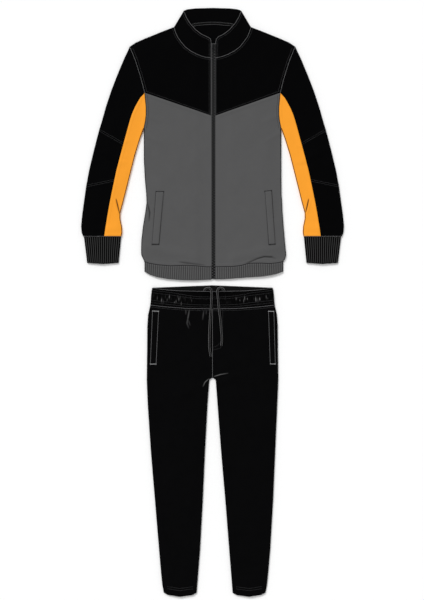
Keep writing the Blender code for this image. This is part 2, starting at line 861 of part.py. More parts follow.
def collar(finish):
    """Outer and inner layer of the collar, each one strip round the neck."""
    down = np.array((0.0, 0.5, 1.0))
    flaps = {}
    for side in (LEFT, RIGHT):
        fold = cut(sleeve_line(side), COLLAR_TOP_Y, NECK_Y)
        top, bottom = collar_edge(side), neck_seam(side)
        across = stations([top, bottom], 40, fold_start=True)
        grid = patch(fold, np.array([top[-1], bottom[-1]]), top, bottom, across, down)
        flaps[side] = part_seams(grid, ("bottom",))
    folds = [cut(sleeve_line(side), COLLAR_TOP_Y, NECK_Y) for side in (LEFT, RIGHT)]
    top, bottom = whole_line(BACK_COLLAR_EDGE), whole_line(BACK_NECK_SEAM)
    across = stations([top, bottom], 60, fold_start=True, fold_end=True)
    back = part_seams(patch(folds[0], folds[1], top, bottom, across, down), ("bottom",))
    whole = joined((flaps[LEFT][:, ::-1], FRONT), (back, BACK), (flaps[RIGHT], FRONT))
    cloth("collar_outer", whole, finish, wall=COLLAR_WALL)
    cloth("collar_inner", whole, finish, wall=COLLAR_WALL, depth=COLLAR_WALL + SEAM_GAP)


def slab(name, grid, bottom, top, finish):
    """A flat strip over a plan grid, between two heights."""
    levels = [np.concatenate([grid, np.full(grid.shape[:2] + (1,), z)], axis=2) for z in (top, bottom)]
    return wall_between(name, levels[0], levels[1], finish)


def neck_tape(finish):
    seam = cut(whole_line(BACK_NECK_SEAM), -NECK_TAPE_REACH, NECK_TAPE_REACH, axis=0)
    upper = seam - (0, SEAM_GAP * 1.2)
    across = stations([upper], 40)
    rows = [along_line(upper, across) - (0, drop) for drop in (0, NECK_TAPE_WIDTH)]
    base = WALL + SEAM_GAP
    slab("neck_tape", np.array(rows), base, base + COLLAR_WALL, finish)


def zip_strip(name, rows, bottom, top, finish):
    """A strip down the zip; each row gives y and the x of both its edges."""
    grid = np.array([((first, y), (last, y)) for y, first, last in rows])
    return slab(name, grid, bottom, top, finish)


def zip_tape(side, word, finish):
    """Narrow beside the collar's edge, and full width under the fronts below the neck seam."""
    near = ZIP_X + side * (TEETH_WIDTH + 2 * SEAM_GAP)
    narrow = zip_edge(side) - side * SEAM_GAP
    far = near + side * TAPE_WIDTH
    rows = (
        (ZIP_TOP, near, narrow),
        (NECK_SEAM_Y - 2, near, narrow),
        (NECK_SEAM_Y - 8, near, far),
        (500, near, far),
        (300, near, far),
        (ZIP_BOTTOM + 1, near, far),
    )
    zip_strip(f"zip_tape_{word}", rows, *TAPE_Z, finish)


def zip_teeth(side, word, finish):
    near = ZIP_X + side * SEAM_GAP / 2
    far = ZIP_X + side * (TEETH_WIDTH + SEAM_GAP / 2)
    slider_end = SLIDER_Y - SLIDER_SIZE[1] / 2 - SEAM_GAP
    rows = [(y, near, far) for y in (slider_end, 500, 300, ZIP_BOTTOM)]
    zip_strip(f"zip_teeth_{word}", rows, *TEETH_Z, finish)


def outline_block(name, outline, low, high, axis, finish):
    """A block with this outline, pushed along one axis between two values."""
    count = len(outline)
    rings = []
    for value in (low, high):
        rings.append(np.insert(np.array(outline, float), axis, value, axis=1))
    faces = [tuple(range(count)), tuple(range(2 * count - 1, count - 1, -1))]
    for k in range(count):
        after = (k + 1) % count
        faces.append((k, k + count, after + count, after))
    return add_mesh(name, np.concatenate(rings), faces, finish)


def zip_slider(finish):
    """A tapered body with a lengthwise bridge that holds the pull tab's bar."""
    width, length, thick = SLIDER_SIZE
    top = SLIDER_BASE + thick
    half = length / 2
    outline = [
        (ZIP_X + x * width / 2, SLIDER_Y + y * half)
        for x, y in ((-1, 0.7), (-0.7, 1), (0.7, 1), (1, 0.7), (0.8, -1), (-0.8, -1))
    ]
    body = outline_block("zip_slider", outline, SLIDER_BASE, top, 2, finish)
    foot, reach, rise, bar = 1.2, 3.6, 2.0, 0.9
    profile = (
        (SLIDER_Y - reach, top - 0.4),
        (SLIDER_Y - reach, top + rise),
        (SLIDER_Y - reach + bar, top + rise + bar),
        (SLIDER_Y + reach - bar, top + rise + bar),
        (SLIDER_Y + reach, top + rise),
        (SLIDER_Y + reach, top - 0.4),
        (SLIDER_Y + reach - foot, top - 0.4),
        (SLIDER_Y + reach - foot, top + rise),
        (SLIDER_Y - reach + foot, top + rise),
        (SLIDER_Y - reach + foot, top - 0.4),
    )
    bridge = outline_block("bridge", profile, ZIP_X - 0.8, ZIP_X + 0.8, 0, finish)
    bridge.hide_render = True
    bridge.display_type = "WIRE"
    union = body.modifiers.new("Bridge", "BOOLEAN")
    union.operation = "UNION"
    union.solver = "EXACT"
    union.object = bridge


def zip_pull(finish):
    """A short tab whose cross bar lies under the slider's bridge. It lies towards the hem."""
    inner, outer = 1.3, 2.6
    bar, arm, tip, half_tip = 0.45, 4.6, 15.0, 2.0
    outline = [
        (-outer, bar), (outer, bar), (outer, -arm), (half_tip + 0.5, -tip + 1.4),
        (half_tip - 0.6, -tip), (-half_tip + 0.6, -tip), (-half_tip - 0.5, -tip + 1.4), (-outer, -arm),
    ]
    window = [(-inner, -bar), (inner, -bar), (inner, -arm), (-inner, -arm)]
    tab = outline_block("zip_pull", outline, -bar, bar, 2, finish)
    cutter = outline_block("pull_window", window, -1, 1, 2, finish)
    cutter.hide_render = True
    cutter.display_type = "WIRE"
    hole = tab.modifiers.new("Window", "BOOLEAN")
    hole.operation = "DIFFERENCE"
    hole.solver = "EXACT"
    hole.object = cutter
    for piece in (tab, cutter):
        piece.location = np.array((ZIP_X, SLIDER_Y, PULL_AXIS_Z)) * MM


def height_over(carrier, plan):
    """Height of an object's upper surface over each plan point, in millimetres."""
    heights = []
    for x, y in plan:
        hit, point, _, _ = carrier.ray_cast((x * MM, y * MM, 0.1), (0, 0, -1))
        heights.append(point.z / MM if hit else np.nan)
    return np.array(heights)


def welt(name, corners, carrier_name, finish):
    """A pocket strip that lies on its front panel."""
    rim = np.array([(x, y) for y, x in corners], float)
    across, down = np.linspace(0, 1, 4), np.linspace(0, 1, 8)
    left, right = np.array([rim[0], rim[3]]), np.array([rim[1], rim[2]])
    grid = patch(left, right, rim[:2], rim[[3, 2]], across, down)
    bpy.context.view_layer.update()
    level = height_over(bpy.data.objects[carrier_name], grid.reshape(-1, 2))
    under = np.concatenate([grid, level.reshape(grid.shape[:2] + (1,)) + WELT_LIFT], axis=2)
    wall_between(name, under + (0, 0, WALL), under, finish)


def trouser_panel(side, face, name, finish):
    edge = trouser_side(side)
    waist = side_line(WAIST_SEAM, side)
    outer = cut(edge, WAIST_BOTTOM_Y, LEG_END_Y)
    leg = inseam(side)
    centre = np.array([waist[-1], leg[0]])
    inner = np.concatenate([centre, leg[1:]])
    bottom = leg_line(side_line(LEG_EDGE, side))
    step = (48, 50) if face == FRONT else (110, 130)
    levels = outer[0, 1], outer[-1, 1]
    across = stations([waist, bottom], step[0], fold_start=True, fold_end=True)
    down = stations([outer, inner], step[1], levels=levels)
    grid = patch(outer, inner, waist, bottom, across, down, levels)
    grid = part_seams(grid, ("top",))
    rows = grid[:, -1, 1] > leg[0, 1] - 0.01
    parted = part_seams(grid, ("right",))
    grid[rows, -1] = parted[rows, -1]
    cloth(name, surface(grid, face), finish)


def waistband(finish):
    """One ring with gathers over its front half."""
    folds = [cut(trouser_side(side), WAIST_TOP_Y, WAIST_BOTTOM_Y) for side in (LEFT, RIGHT)]
    down = np.array((0.0, 0.5, 1.0))
    top, bottom = whole_line(WAIST_EDGE), whole_line(WAIST_SEAM)
    across = rib_stations(top, bottom, GATHERS)
    front = part_seams(patch(folds[0], folds[1], top, bottom, across, down), ("bottom",))
    coarse = stations([top], 60, fold_start=True, fold_end=True)
    back_top = whole_line(BACK_WAIST_EDGE)
    back = part_seams(patch(folds[0], folds[1], back_top, bottom, coarse, down), ("bottom",))
    whole = joined((front, FRONT), (back[:, ::-1], BACK))
    raised = np.zeros(whole[0].shape[:2])
    raised[:, : len(across)] = rib_relief(across, 2, GATHERS, GATHER_HEIGHT)
    raised *= np.array((0.4, 1.0, 0.4))[:, None]
    cloth("waistband", whole, finish, wall=WAISTBAND_WALL, relief=raised, closed=True)


def smooth_route(points, step):
    """A smooth curve through a route's points, with points about one step apart."""
    knots = np.array(points, float)
    padded = np.concatenate([[2 * knots[0] - knots[1]], knots, [2 * knots[-1] - knots[-2]]])
    fine = []
    for a, b, c, d in zip(padded, padded[1:], padded[2:], padded[3:]):
        for t in np.linspace(0, 1, 12, endpoint=False):
            fine.append(0.5 * (2 * b + (c - a) * t + (2 * a - 5 * b + 4 * c - d) * t**2
                               + (3 * b - a - 3 * c + d) * t**3))
    fine = np.array(fine + [knots[-1]])
    along = np.concatenate([[0], np.cumsum(np.linalg.norm(np.diff(fine, axis=0), axis=1))])
    at = np.linspace(0, along[-1], max(2, round(along[-1] / step) + 1))
    return np.stack([np.interp(at, along, fine[:, k]) for k in range(3)], axis=1)


def drawcord(name, route, finish):
    points = smooth_route(route, CORD_STEP)
    curve = bpy.data.curves.new(name, "CURVE")
    curve.dimensions = "3D"
    spline = curve.splines.new("POLY")
    spline.points.add(len(points) - 1)
    for point, place in zip(spline.points, points * MM):
        point.co = (*place, 1)
    curve.bevel_depth = CORD_DIAMETER / 2 * MM
    curve.bevel_resolution = 2
    curve.use_fill_caps = True
    curve.materials.append(finish)
    made = bpy.data.objects.new(name, curve)
    bpy.context.scene.collection.objects.link(made)


def build_jacket():
    back_yoke(material("back yoke cloth", "black", 0.62))
    back_body(material("back body cloth", "grey", 0.62))
    for side, word in ((LEFT, "left"), (RIGHT, "right")):
        front_yoke(side, f"jacket_front_yoke_{word}", material(f"{word} yoke cloth", "black", 0.62))
        front_body(side, f"jacket_front_body_{word}", material(f"{word} body cloth", "grey", 0.62))
        black_sleeve(side, word, material(f"{word} sleeve cloth", "black", 0.62))
        coloured_panel(side, word, material(f"{word} panel cloth", "orange", 0.62))
        cuff(side, word, material(f"{word} cuff rib", "rib_black", 0.8))
    hem_band(material("hem rib", "rib_grey", 0.8))
    collar(material("collar cloth", "black", 0.62))
    neck_tape(material("neck tape", "tape", 0.8))
    for (side, *corners), word in zip(JACKET_WELTS, ("left", "right")):
        finish = material(f"{word} welt cloth", "grey", 0.62)
        welt(f"jacket_welt_{word}", corners, f"jacket_front_body_{word}", finish)


def build_zip():
    for side, word in ((LEFT, "left"), (RIGHT, "right")):
        zip_tape(side, word, material(f"{word} zip tape", "tape", 0.8))
        zip_teeth(side, word, material(f"{word} zip teeth", "metal", 0.45))
    zip_slider(material("slider metal", "metal", 0.35, 1.0))
    zip_pull(material("pull metal", "metal", 0.35, 1.0))


def build_trousers():
    for side, word in ((LEFT, "left"), (RIGHT, "right")):
        for face, place in ((FRONT, "front"), (BACK, "back")):
            finish = material(f"{word} {place} trouser cloth", "black", 0.62)
            trouser_panel(side, face, f"trouser_{place}_{word}", finish)
    waistband(material("waistband cloth", "black", 0.7))
    for (side, *corners), word in zip(TROUSER_WELTS, ("left", "right")):
        finish = material(f"{word} trouser welt cloth", "black", 0.62)
        welt(f"trouser_welt_{word}", corners, f"trouser_front_{word}", finish)
    drawcord("drawcord_left", LEFT_CORD, material("left drawcord", "cord", 0.85))
    drawcord("drawcord_right", RIGHT_CORD, material("right drawcord", "cord", 0.85))


for old in list(bpy.data.objects):
    bpy.data.objects.remove(old)
build_jacket()
build_zip()
build_trousers()
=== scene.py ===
"""Looks of a tracksuit laid flat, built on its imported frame: a zip jacket above tapered trousers.

Every cloth piece is a thin wall under a grid of points on the laid garment. Sizes are in
millimetres until a mesh is made. X runs to the right as seen from above, Y towards the collar
and Z up from the surface below.
"""

import math

import bpy
import numpy as np
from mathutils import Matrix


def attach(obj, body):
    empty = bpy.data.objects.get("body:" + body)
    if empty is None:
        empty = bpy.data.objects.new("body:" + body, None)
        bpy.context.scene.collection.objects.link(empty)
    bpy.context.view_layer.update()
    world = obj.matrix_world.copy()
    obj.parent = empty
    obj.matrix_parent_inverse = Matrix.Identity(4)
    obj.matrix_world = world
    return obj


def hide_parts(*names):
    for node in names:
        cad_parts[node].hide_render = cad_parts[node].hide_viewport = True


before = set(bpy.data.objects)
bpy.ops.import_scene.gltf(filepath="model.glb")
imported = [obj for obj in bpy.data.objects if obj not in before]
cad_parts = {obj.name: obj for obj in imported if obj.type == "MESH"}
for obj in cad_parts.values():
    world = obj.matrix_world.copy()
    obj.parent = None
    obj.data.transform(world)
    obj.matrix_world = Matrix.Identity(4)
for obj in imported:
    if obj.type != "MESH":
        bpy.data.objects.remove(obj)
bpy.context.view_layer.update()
MM = 0.001

# Cloth
SEAM_GAP = 0.3
WALL = 1.2
COLLAR_WALL = 1.0
WAISTBAND_WALL = 2.0
FOLD_RADIUS = 2.6
MIDDLE = FOLD_RADIUS + SEAM_GAP / 2
LOFT = 1.5
LOFT_REACH = 45.0
SLOPE_STEP = 0.4
FRONT_STEP = 3.6
BACK_STEP = 9.0
FRONT, BACK = 1, -1
LEFT, RIGHT = -1, 1
SIDES = ((LEFT, "left"), (RIGHT, "right"))

# Folds: how far in from an edge large and small ones rise in full, and how much a free end fades
CREASE_REACH = 14.0
SMALL_FOLD_REACH = 3.0
FADE = 0.4
# Small folds narrower than this get a painted highlight on the ridge and painted shade in the
# valley, in full where they are this high
SHARP_FOLD = 2.45
FOLD_RISE = 1.5
# Power that keeps the painted light to the top of a fold
SHADE_POWER = 2.6
# Beside the zip the cloth lies calm: out to here, over this width more, and no further than this
ZIP_CALM = 24
CALM_WIDTH = 30
CALM_REACH = 60
# How far the crest of a swell wavers from a straight line, and over what length
WAVER = 18
WAVER_LENGTH = 71

# Sewn seams: how deep the groove is, and how far the turned edges under the cloth lift it
GROOVE_DEPTH = 0.5
GROOVE_WIDTH = 1.1
TURNED_LIFT = 0.45
TURNED_START = 2
TURNED_WIDTH = 7.0
TURNED_END = 2.5

# Ribs and gathers; RIB_START is how far from a fold the first rib begins
RIB_HEIGHT = 0.9
BACK_RIB_DEPTH = 0.5
CUFF_RIBS = 16
HEM_RIBS = 31
COLUMNS_A_RIB = 6
RIB_START = 2.7
GATHER_HEIGHT = 1.1
WAIST_HEIGHT = 48.0
GATHERS = 46

# Zip
ZIP_X = 2.6
ZIP_OPENING = 11.6
ZIP_TOP = 725.0
ZIP_BOTTOM = 64.6
TEETH_WIDTH = 4.0
TEETH_Z = (3.6, 6.2)
TOOTH_PITCH = 7.7
# In shares of the pitch: half a tooth's length, and how far below the slider each row starts
TOOTH_HALF = 0.31
FIRST_TOOTH = {LEFT: 0.32, RIGHT: 0.82}
TAPE_WIDTH = 11.0
TAPE_PARTING = 0.5
TAPE_ROWS = 90
TAPE_Z = (3.8, 4.8)
SLIDER_LENGTH = 10.4
SLIDER_Y = 718.6

# Drawcord
CORD_DIAMETER = 5.4
CORD_SIDES = 20
CORD_STRANDS = 8
BRAID_PITCH = 13.0
# How narrow the painted rim highlight along each side of the cord is
RIM_HIGHLIGHT_SPREAD = 5.0

# Thread: how high it lies on a flat seam, beside one and along a fold
SEAM_THREAD_LIFT = 0.55
STITCH_LIFT = 0.1
FOLD_THREAD_LIFT = 0.15
STITCH_PITCH = 3.4
STITCH_LENGTH = 2.7
# Pitch and length of the stitches on a flat seam
FLAT_SEAM = (2.1, 2.5)
THREAD = 0.85
FLAT_THREAD = 1.05
# How far the thread along a free edge and along a fold lies in from it
EDGE_THREAD_IN = 0.8
FOLD_THREAD_IN = 1.4
# Topstitching: how far each row lies from its seam or edge
NECK_ROW = 5.4
EDGE_ROW = 6.2
YOKE_ROW = 3.6
ELBOW_ROW = 2.4
WAIST_ROW = 5.4
LEG_HEM_ROWS = (23.4, 17.2)
# Topstitching beside the fly: x, y
FLY_ROWS = (
    ((28.6, -19.0), (28.6, -88.0), (25.8, -104.0), (20.5, -115.0), (12.0, -121.5), (3.0, -125.4)),
    ((26.5, -119.0), (22.0, -128.0), (13.0, -130.6), (3.0, -131.4)),
)

# Heights of seams and corners above the frame's centre line
COLLAR_TOP_Y = 818.2
NECK_Y = 771.4
SHOULDER_Y = 716.8
SLEEVE_HEAD_Y = 690.0
UNDERARM_Y = 486.0
PANEL_TIP_Y = 582.0
CUFF_SEAM_Y = 185.6
WAIST_TOP_Y = 41.4
WAIST_BOTTOM_Y = -7.0
LEG_END_Y = -812.0
# Elbow seams: y at the sleeve's outer edge and at the coloured panel
UPPER_ELBOW = (483.0, 444.0)
LOWER_ELBOW = (326.0, 342.0)

# Rows closer to the underarm than this stay on the fold
UNDERARM_REACH = 0.5

# Grid step on the front of the legs
LEG_STEP = 4.0
# Heights between which the small folds need finer rows
FINE_STEP = 1.3
FINE_ROWS = {
    "sleeve": ((296, 244),),
    "body": ((280, 224), (132, 98)),
    "trousers": ((-17, -76), (-192, -238)),
}
# Places along the waist between which the folds under the waistband need finer columns
FINE_COLUMNS = {LEFT: ((-78, -58), (-30, 0)), RIGHT: ((0, 46),)}
# Two grid rows lie no closer than this share of the way, and steps may run over by this share
CLOSEST = 2e-4
STEP_SLACK = 0.35
# Grid rows beside an edge: how far each lies from it
BESIDE = {
    "fold": (0.35, 0.9, 1.6, 2.5, 3.6, 5.6, 9.0, 14.0),
    "seam": (0.5, 1.1, 1.9, 3.0, 4.6, 6.6, 8.2, 9.8),
    "hem": (0.4, 0.9, 1.6, 2.6),
    "plain": (),
}

# Sides of the jacket and trousers as laid. Rows run from the collar to the hem.
# Collar top, neck, shoulder and sleeve edge: x from the centre line, y
SHOULDER_EDGE = (
    (79.8, 818.2),
    (107.8, 771.4),
    (134.5, 761.6),
    (189.7, 739.2),
    (215.2, 728.0),
    (231.7, 716.8),
    (236.9, 705.6),
    (247.5, 683.2),
    (266.3, 638.4),
    (283.6, 593.6),
    (298.5, 548.8),
    (311.1, 504.0),
)
# Sleeve below the underarm: y, outer edge, edge of the coloured panel, inner edge
SLEEVE = (
    (486.0, 316.7, 238.0, 192.6),
    (459.0, 324.0, 245.3, 202.4),
    (414.0, 335.4, 257.6, 216.2),
    (370.0, 345.8, 269.0, 227.4),
    (325.0, 354.2, 278.6, 238.6),
    (280.0, 360.4, 287.8, 250.0),
    (250.0, 364.6, 293.2, 258.2),
    (235.0, 366.2, 295.7, 258.2),
    (213.0, 368.2, 299.3, 253.7),
    (197.0, 366.8, 301.6, 252.6),
    (185.6, 362.8, 303.2, 254.6),
)
# Rib cuff: y, outer edge, inner edge
CUFF = (
    (184.8, 360.2, 256.0),
    (111.0, 351.2, 263.2),
)
# Armhole seam from the shoulder to the underarm: x from the centre line, y
ARMHOLE = (
    (231.7, 716.8),
    (216.0, 678.0),
    (204.1, 641.0),
    (195.4, 610.0),
    (189.6, 587.0),
    (185.8, 547.0),
    (185.8, 525.0),
    (187.8, 508.0),
    (191.6, 489.4),
    (192.3, 486.0),
)
# Coloured panel above the underarm: x from the centre line, y
PANEL_TIP = (
    (193.6, 582.0),
    (202.2, 572.9),
    (210.3, 559.2),
    (218.1, 544.6),
    (225.4, 527.8),
    (231.0, 511.0),
    (238.0, 486.0),
)
# Body below the underarm: y, left side, right side
BODY_SIDES = (
    (486.0, 192.0, 192.0),
    (400.0, 192.3, 192.6),
    (350.0, 189.8, 192.6),
    (302.0, 185.6, 193.2),
    (280.0, 184.8, 194.9),
    (258.0, 187.6, 195.7),
    (213.0, 194.9, 199.1),
    (174.0, 199.4, 202.4),
    (146.0, 200.2, 205.2),
    (133.0, 199.6, 206.4),
    (121.0, 194.0, 203.0),
    (114.6, 190.4, 198.0),
    (86.8, 190.4, 198.0),
)
# Seam above the hem band, and its lower edge, from left to right: x, y
HEM_SEAM = (
    (-190.4, 114.6),
    (-177.0, 109.8),
    (-153.0, 105.6),
    (-117.0, 102.5),
    (-72.0, 104.2),
    (-46.0, 102.6),
    (-17.0, 99.7),
    (54.0, 100.5),
    (79.0, 103.3),
    (104.0, 110.0),
    (138.0, 110.0),
    (162.0, 108.9),
    (184.0, 111.2),
    (198.0, 114.6),
)
BACK_HEM_SEAM = (
    (-190.4, 114.6),
    (-60.0, 103.0),
    (60.0, 103.0),
    (198.0, 114.6),
)
HEM_EDGE = (
    (-190.4, 86.8),
    (-177.0, 78.4),
    (-156.0, 71.1),
    (-125.0, 65.5),
    (-88.0, 62.4),
    (-46.0, 61.9),
    (0.0, 64.1),
    (43.0, 65.5),
    (93.0, 69.7),
    (138.0, 72.5),
    (164.0, 76.2),
    (184.0, 81.2),
    (198.0, 86.8),
)
BACK_HEM_EDGE = (
    (-190.4, 86.8),
    (-156.0, 72.5),
    (-88.0, 64.4),
    (0.0, 66.0),
    (93.0, 71.4),
    (164.0, 78.0),
    (198.0, 86.8),
)
# V seam under the yoke: its end at the armhole, and where both sides meet on the back
YOKE_END = (189.6, 587.0)
YOKE_POINT_Y = 521.5

# Collar: x from the centre line, y
NECK_SEAM = (
    (107.8, 771.4),
    (107.0, 768.4),
    (103.6, 757.0),
    (96.6, 741.7),
    (87.1, 728.6),
    (76.4, 715.7),
    (61.6, 704.4),
    (44.0, 695.2),
    (24.9, 688.2),
)
NECK_SEAM_Y = 684.9
COLLAR_EDGE = (
    (79.8, 818.2),
    (73.1, 799.4),
    (62.2, 781.8),
    (47.0, 764.0),
    (30.5, 752.0),
    (16.0, 745.0),
)
# Corner of the collar at the zip: x beyond the zip opening, y
COLLAR_CORNER = (
    (5.2, 742.0),
    (1.4, 737.4),
    (0.0, 730.5),
)
BACK_NECK_SEAM = (
    (107.8, 771.4),
    (104.6, 772.0),
    (61.6, 779.8),
    (50.0, 783.2),
    (18.2, 786.5),
    (0.0, 787.1),
)
BACK_COLLAR_EDGE = (
    (79.8, 818.2),
    (70.0, 821.5),
    (48.2, 824.0),
    (0.0, 825.4),
)
NECK_TAPE_REACH = 74.0
NECK_TAPE_WIDTH = 9.0
NECK_TAPE_DROP = SEAM_GAP * 1.2

# Trousers: y, outer edge from their own centre line
TROUSER_SIDE = (
    (41.4, 168.4),
    (33.6, 170.4),
    (-7.0, 174.0),
    (-34.0, 180.4),
    (-67.0, 182.6),
    (-118.0, 183.0),
    (-218.0, 184.2),
    (-286.0, 181.4),
    (-420.0, 174.0),
    (-554.0, 165.5),
    (-689.0, 155.9),
    (-756.0, 150.2),
    (-790.0, 146.7),
    (-812.0, 142.6),
)
# Inner leg: y, inner edge from their own centre line
TROUSER_INSEAM = (
    (-211.4, 0.0),
    (-212.4, 4.0),
    (-215.0, 7.4),
    (-220.0, 9.3),
    (-286.0, 14.1),
    (-420.0, 22.8),
    (-554.0, 31.6),
    (-689.0, 40.6),
    (-812.6, 50.4),
)
# Lower edge of a leg: x from their own centre line, y
LEG_EDGE = (
    (142.6, -812.0),
    (131.0, -818.6),
    (97.0, -823.6),
    (62.0, -819.2),
    (50.4, -812.6),
)
# Both legs drift this far to the right between these heights
LEG_DRIFT = 5.9
LEG_DRIFT_Y = (-285.0, -700.0)
# Waistband: x from the centre line, y
WAIST_SEAM = (
    (174.0, -7.0),
    (140.0, -11.2),
    (73.0, -16.5),
    (0.0, -17.6),
)
WAIST_EDGE = (
    (168.4, 41.4),
    (127.0, 36.1),
    (91.0, 33.6),
    (21.0, 32.2),
    (0.0, 31.6),
)
BACK_WAIST_EDGE = (
    (168.4, 41.4),
    (0.0, 48.2),
)
# Rows on the waistband: the share of the way down at the sides and at the middle
WAIST_ROWS = ((0.145, 0.33), (0.285, 0.44), (0.715, 0.79), (0.85, 0.91))

# Pocket welts, left and right, by their corners: y and x of the upper inner, upper outer,
# lower outer and lower inner corner
JACKET_WELTS = (
    ((312.5, -135.2), (312.5, -158.8), (161.0, -170.8), (161.0, -149.5)),
    ((313.6, 144.8), (315.0, 166.0), (161.8, 176.7), (160.2, 157.1)),
)
TROUSER_WELTS = (
    ((-22.6, -149.0), (-21.6, -168.6), (-174.4, -175.6), (-174.4, -157.1)),
    ((-22.6, 155.0), (-22.8, 172.6), (-174.4, 177.6), (-173.6, 160.7)),
)
WELT_LIFT = 0.45
WELT_STITCH = 1.3
WELT_BASE = 0.12
WELT_RIM = 0.25
WELT_GROOVE = 0.35
# Bar tacks: step along the welt's end, distance in from it, and how far each stitch reaches
TACK_STEP = 0.55
TACK_IN = 1.2
TACK_REACH = 2.2

# Largest folds: x and y of both ends, half width, height
CREASES = (
    (-196.0, 160.0, -40.0, 122.0, 13.0, 1.6),
    (202.0, 160.0, 60.0, 124.0, 13.0, 1.8),
    (-340.0, 205.0, -262.0, 208.0, 11.0, 1.5),
    (340.0, 205.0, 262.0, 208.0, 11.0, 1.5),
    (-225.0, 520.0, -196.0, 600.0, 11.0, 1.4),
    (225.0, 520.0, 196.0, 600.0, 11.0, 1.4),
    (-300.0, 420.0, -250.0, 395.0, 12.0, 1.3),
    (300.0, 420.0, 250.0, 395.0, 12.0, 1.3),
    (-90.0, -260.0, -14.0, -222.0, 12.0, 1.6),
    (96.0, -196.0, 14.0, -226.0, 12.0, 1.6),
    (-140.0, -500.0, -60.0, -470.0, 20.0, 1.3),
    (140.0, -480.0, 60.0, -455.0, 20.0, 1.3),
    (-130.0, -700.0, -60.0, -735.0, 18.0, 1.3),
    (135.0, -690.0, 66.0, -720.0, 18.0, 1.3),
)

# Drawcord routes, from the waistband edge over the front to the free tip: x, y, z
LEFT_CORD = (
    (-21.4, 36.2, 5.6),
    (-17.0, 39.6, 6.0),
    (-11.5, 40.9, 6.9),
    (-6.0, 38.6, 8.6),
    (-3.0, 32.0, 10.2),
    (-2.6, 15.0, 10.4),
    (-4.2, -14.0, 10.2),
    (-6.6, -43.0, 9.6),
    (-8.5, -78.0, 9.5),
    (-8.9, -120.0, 9.5),
    (-6.6, -142.0, 9.5),
    (-4.6, -152.0, 9.5),
)
RIGHT_CORD = (
    (30.8, 36.2, 5.6),
    (26.6, 39.7, 6.0),
    (21.4, 40.9, 6.9),
    (16.2, 38.4, 8.6),
    (13.6, 31.0, 10.2),
    (15.4, 12.0, 10.4),
    (17.6, -14.0, 10.2),
    (21.4, -43.0, 9.6),
    (24.6, -78.0, 9.5),
    (26.2, -104.0, 9.5),
    (24.6, -122.6, 9.5),
)

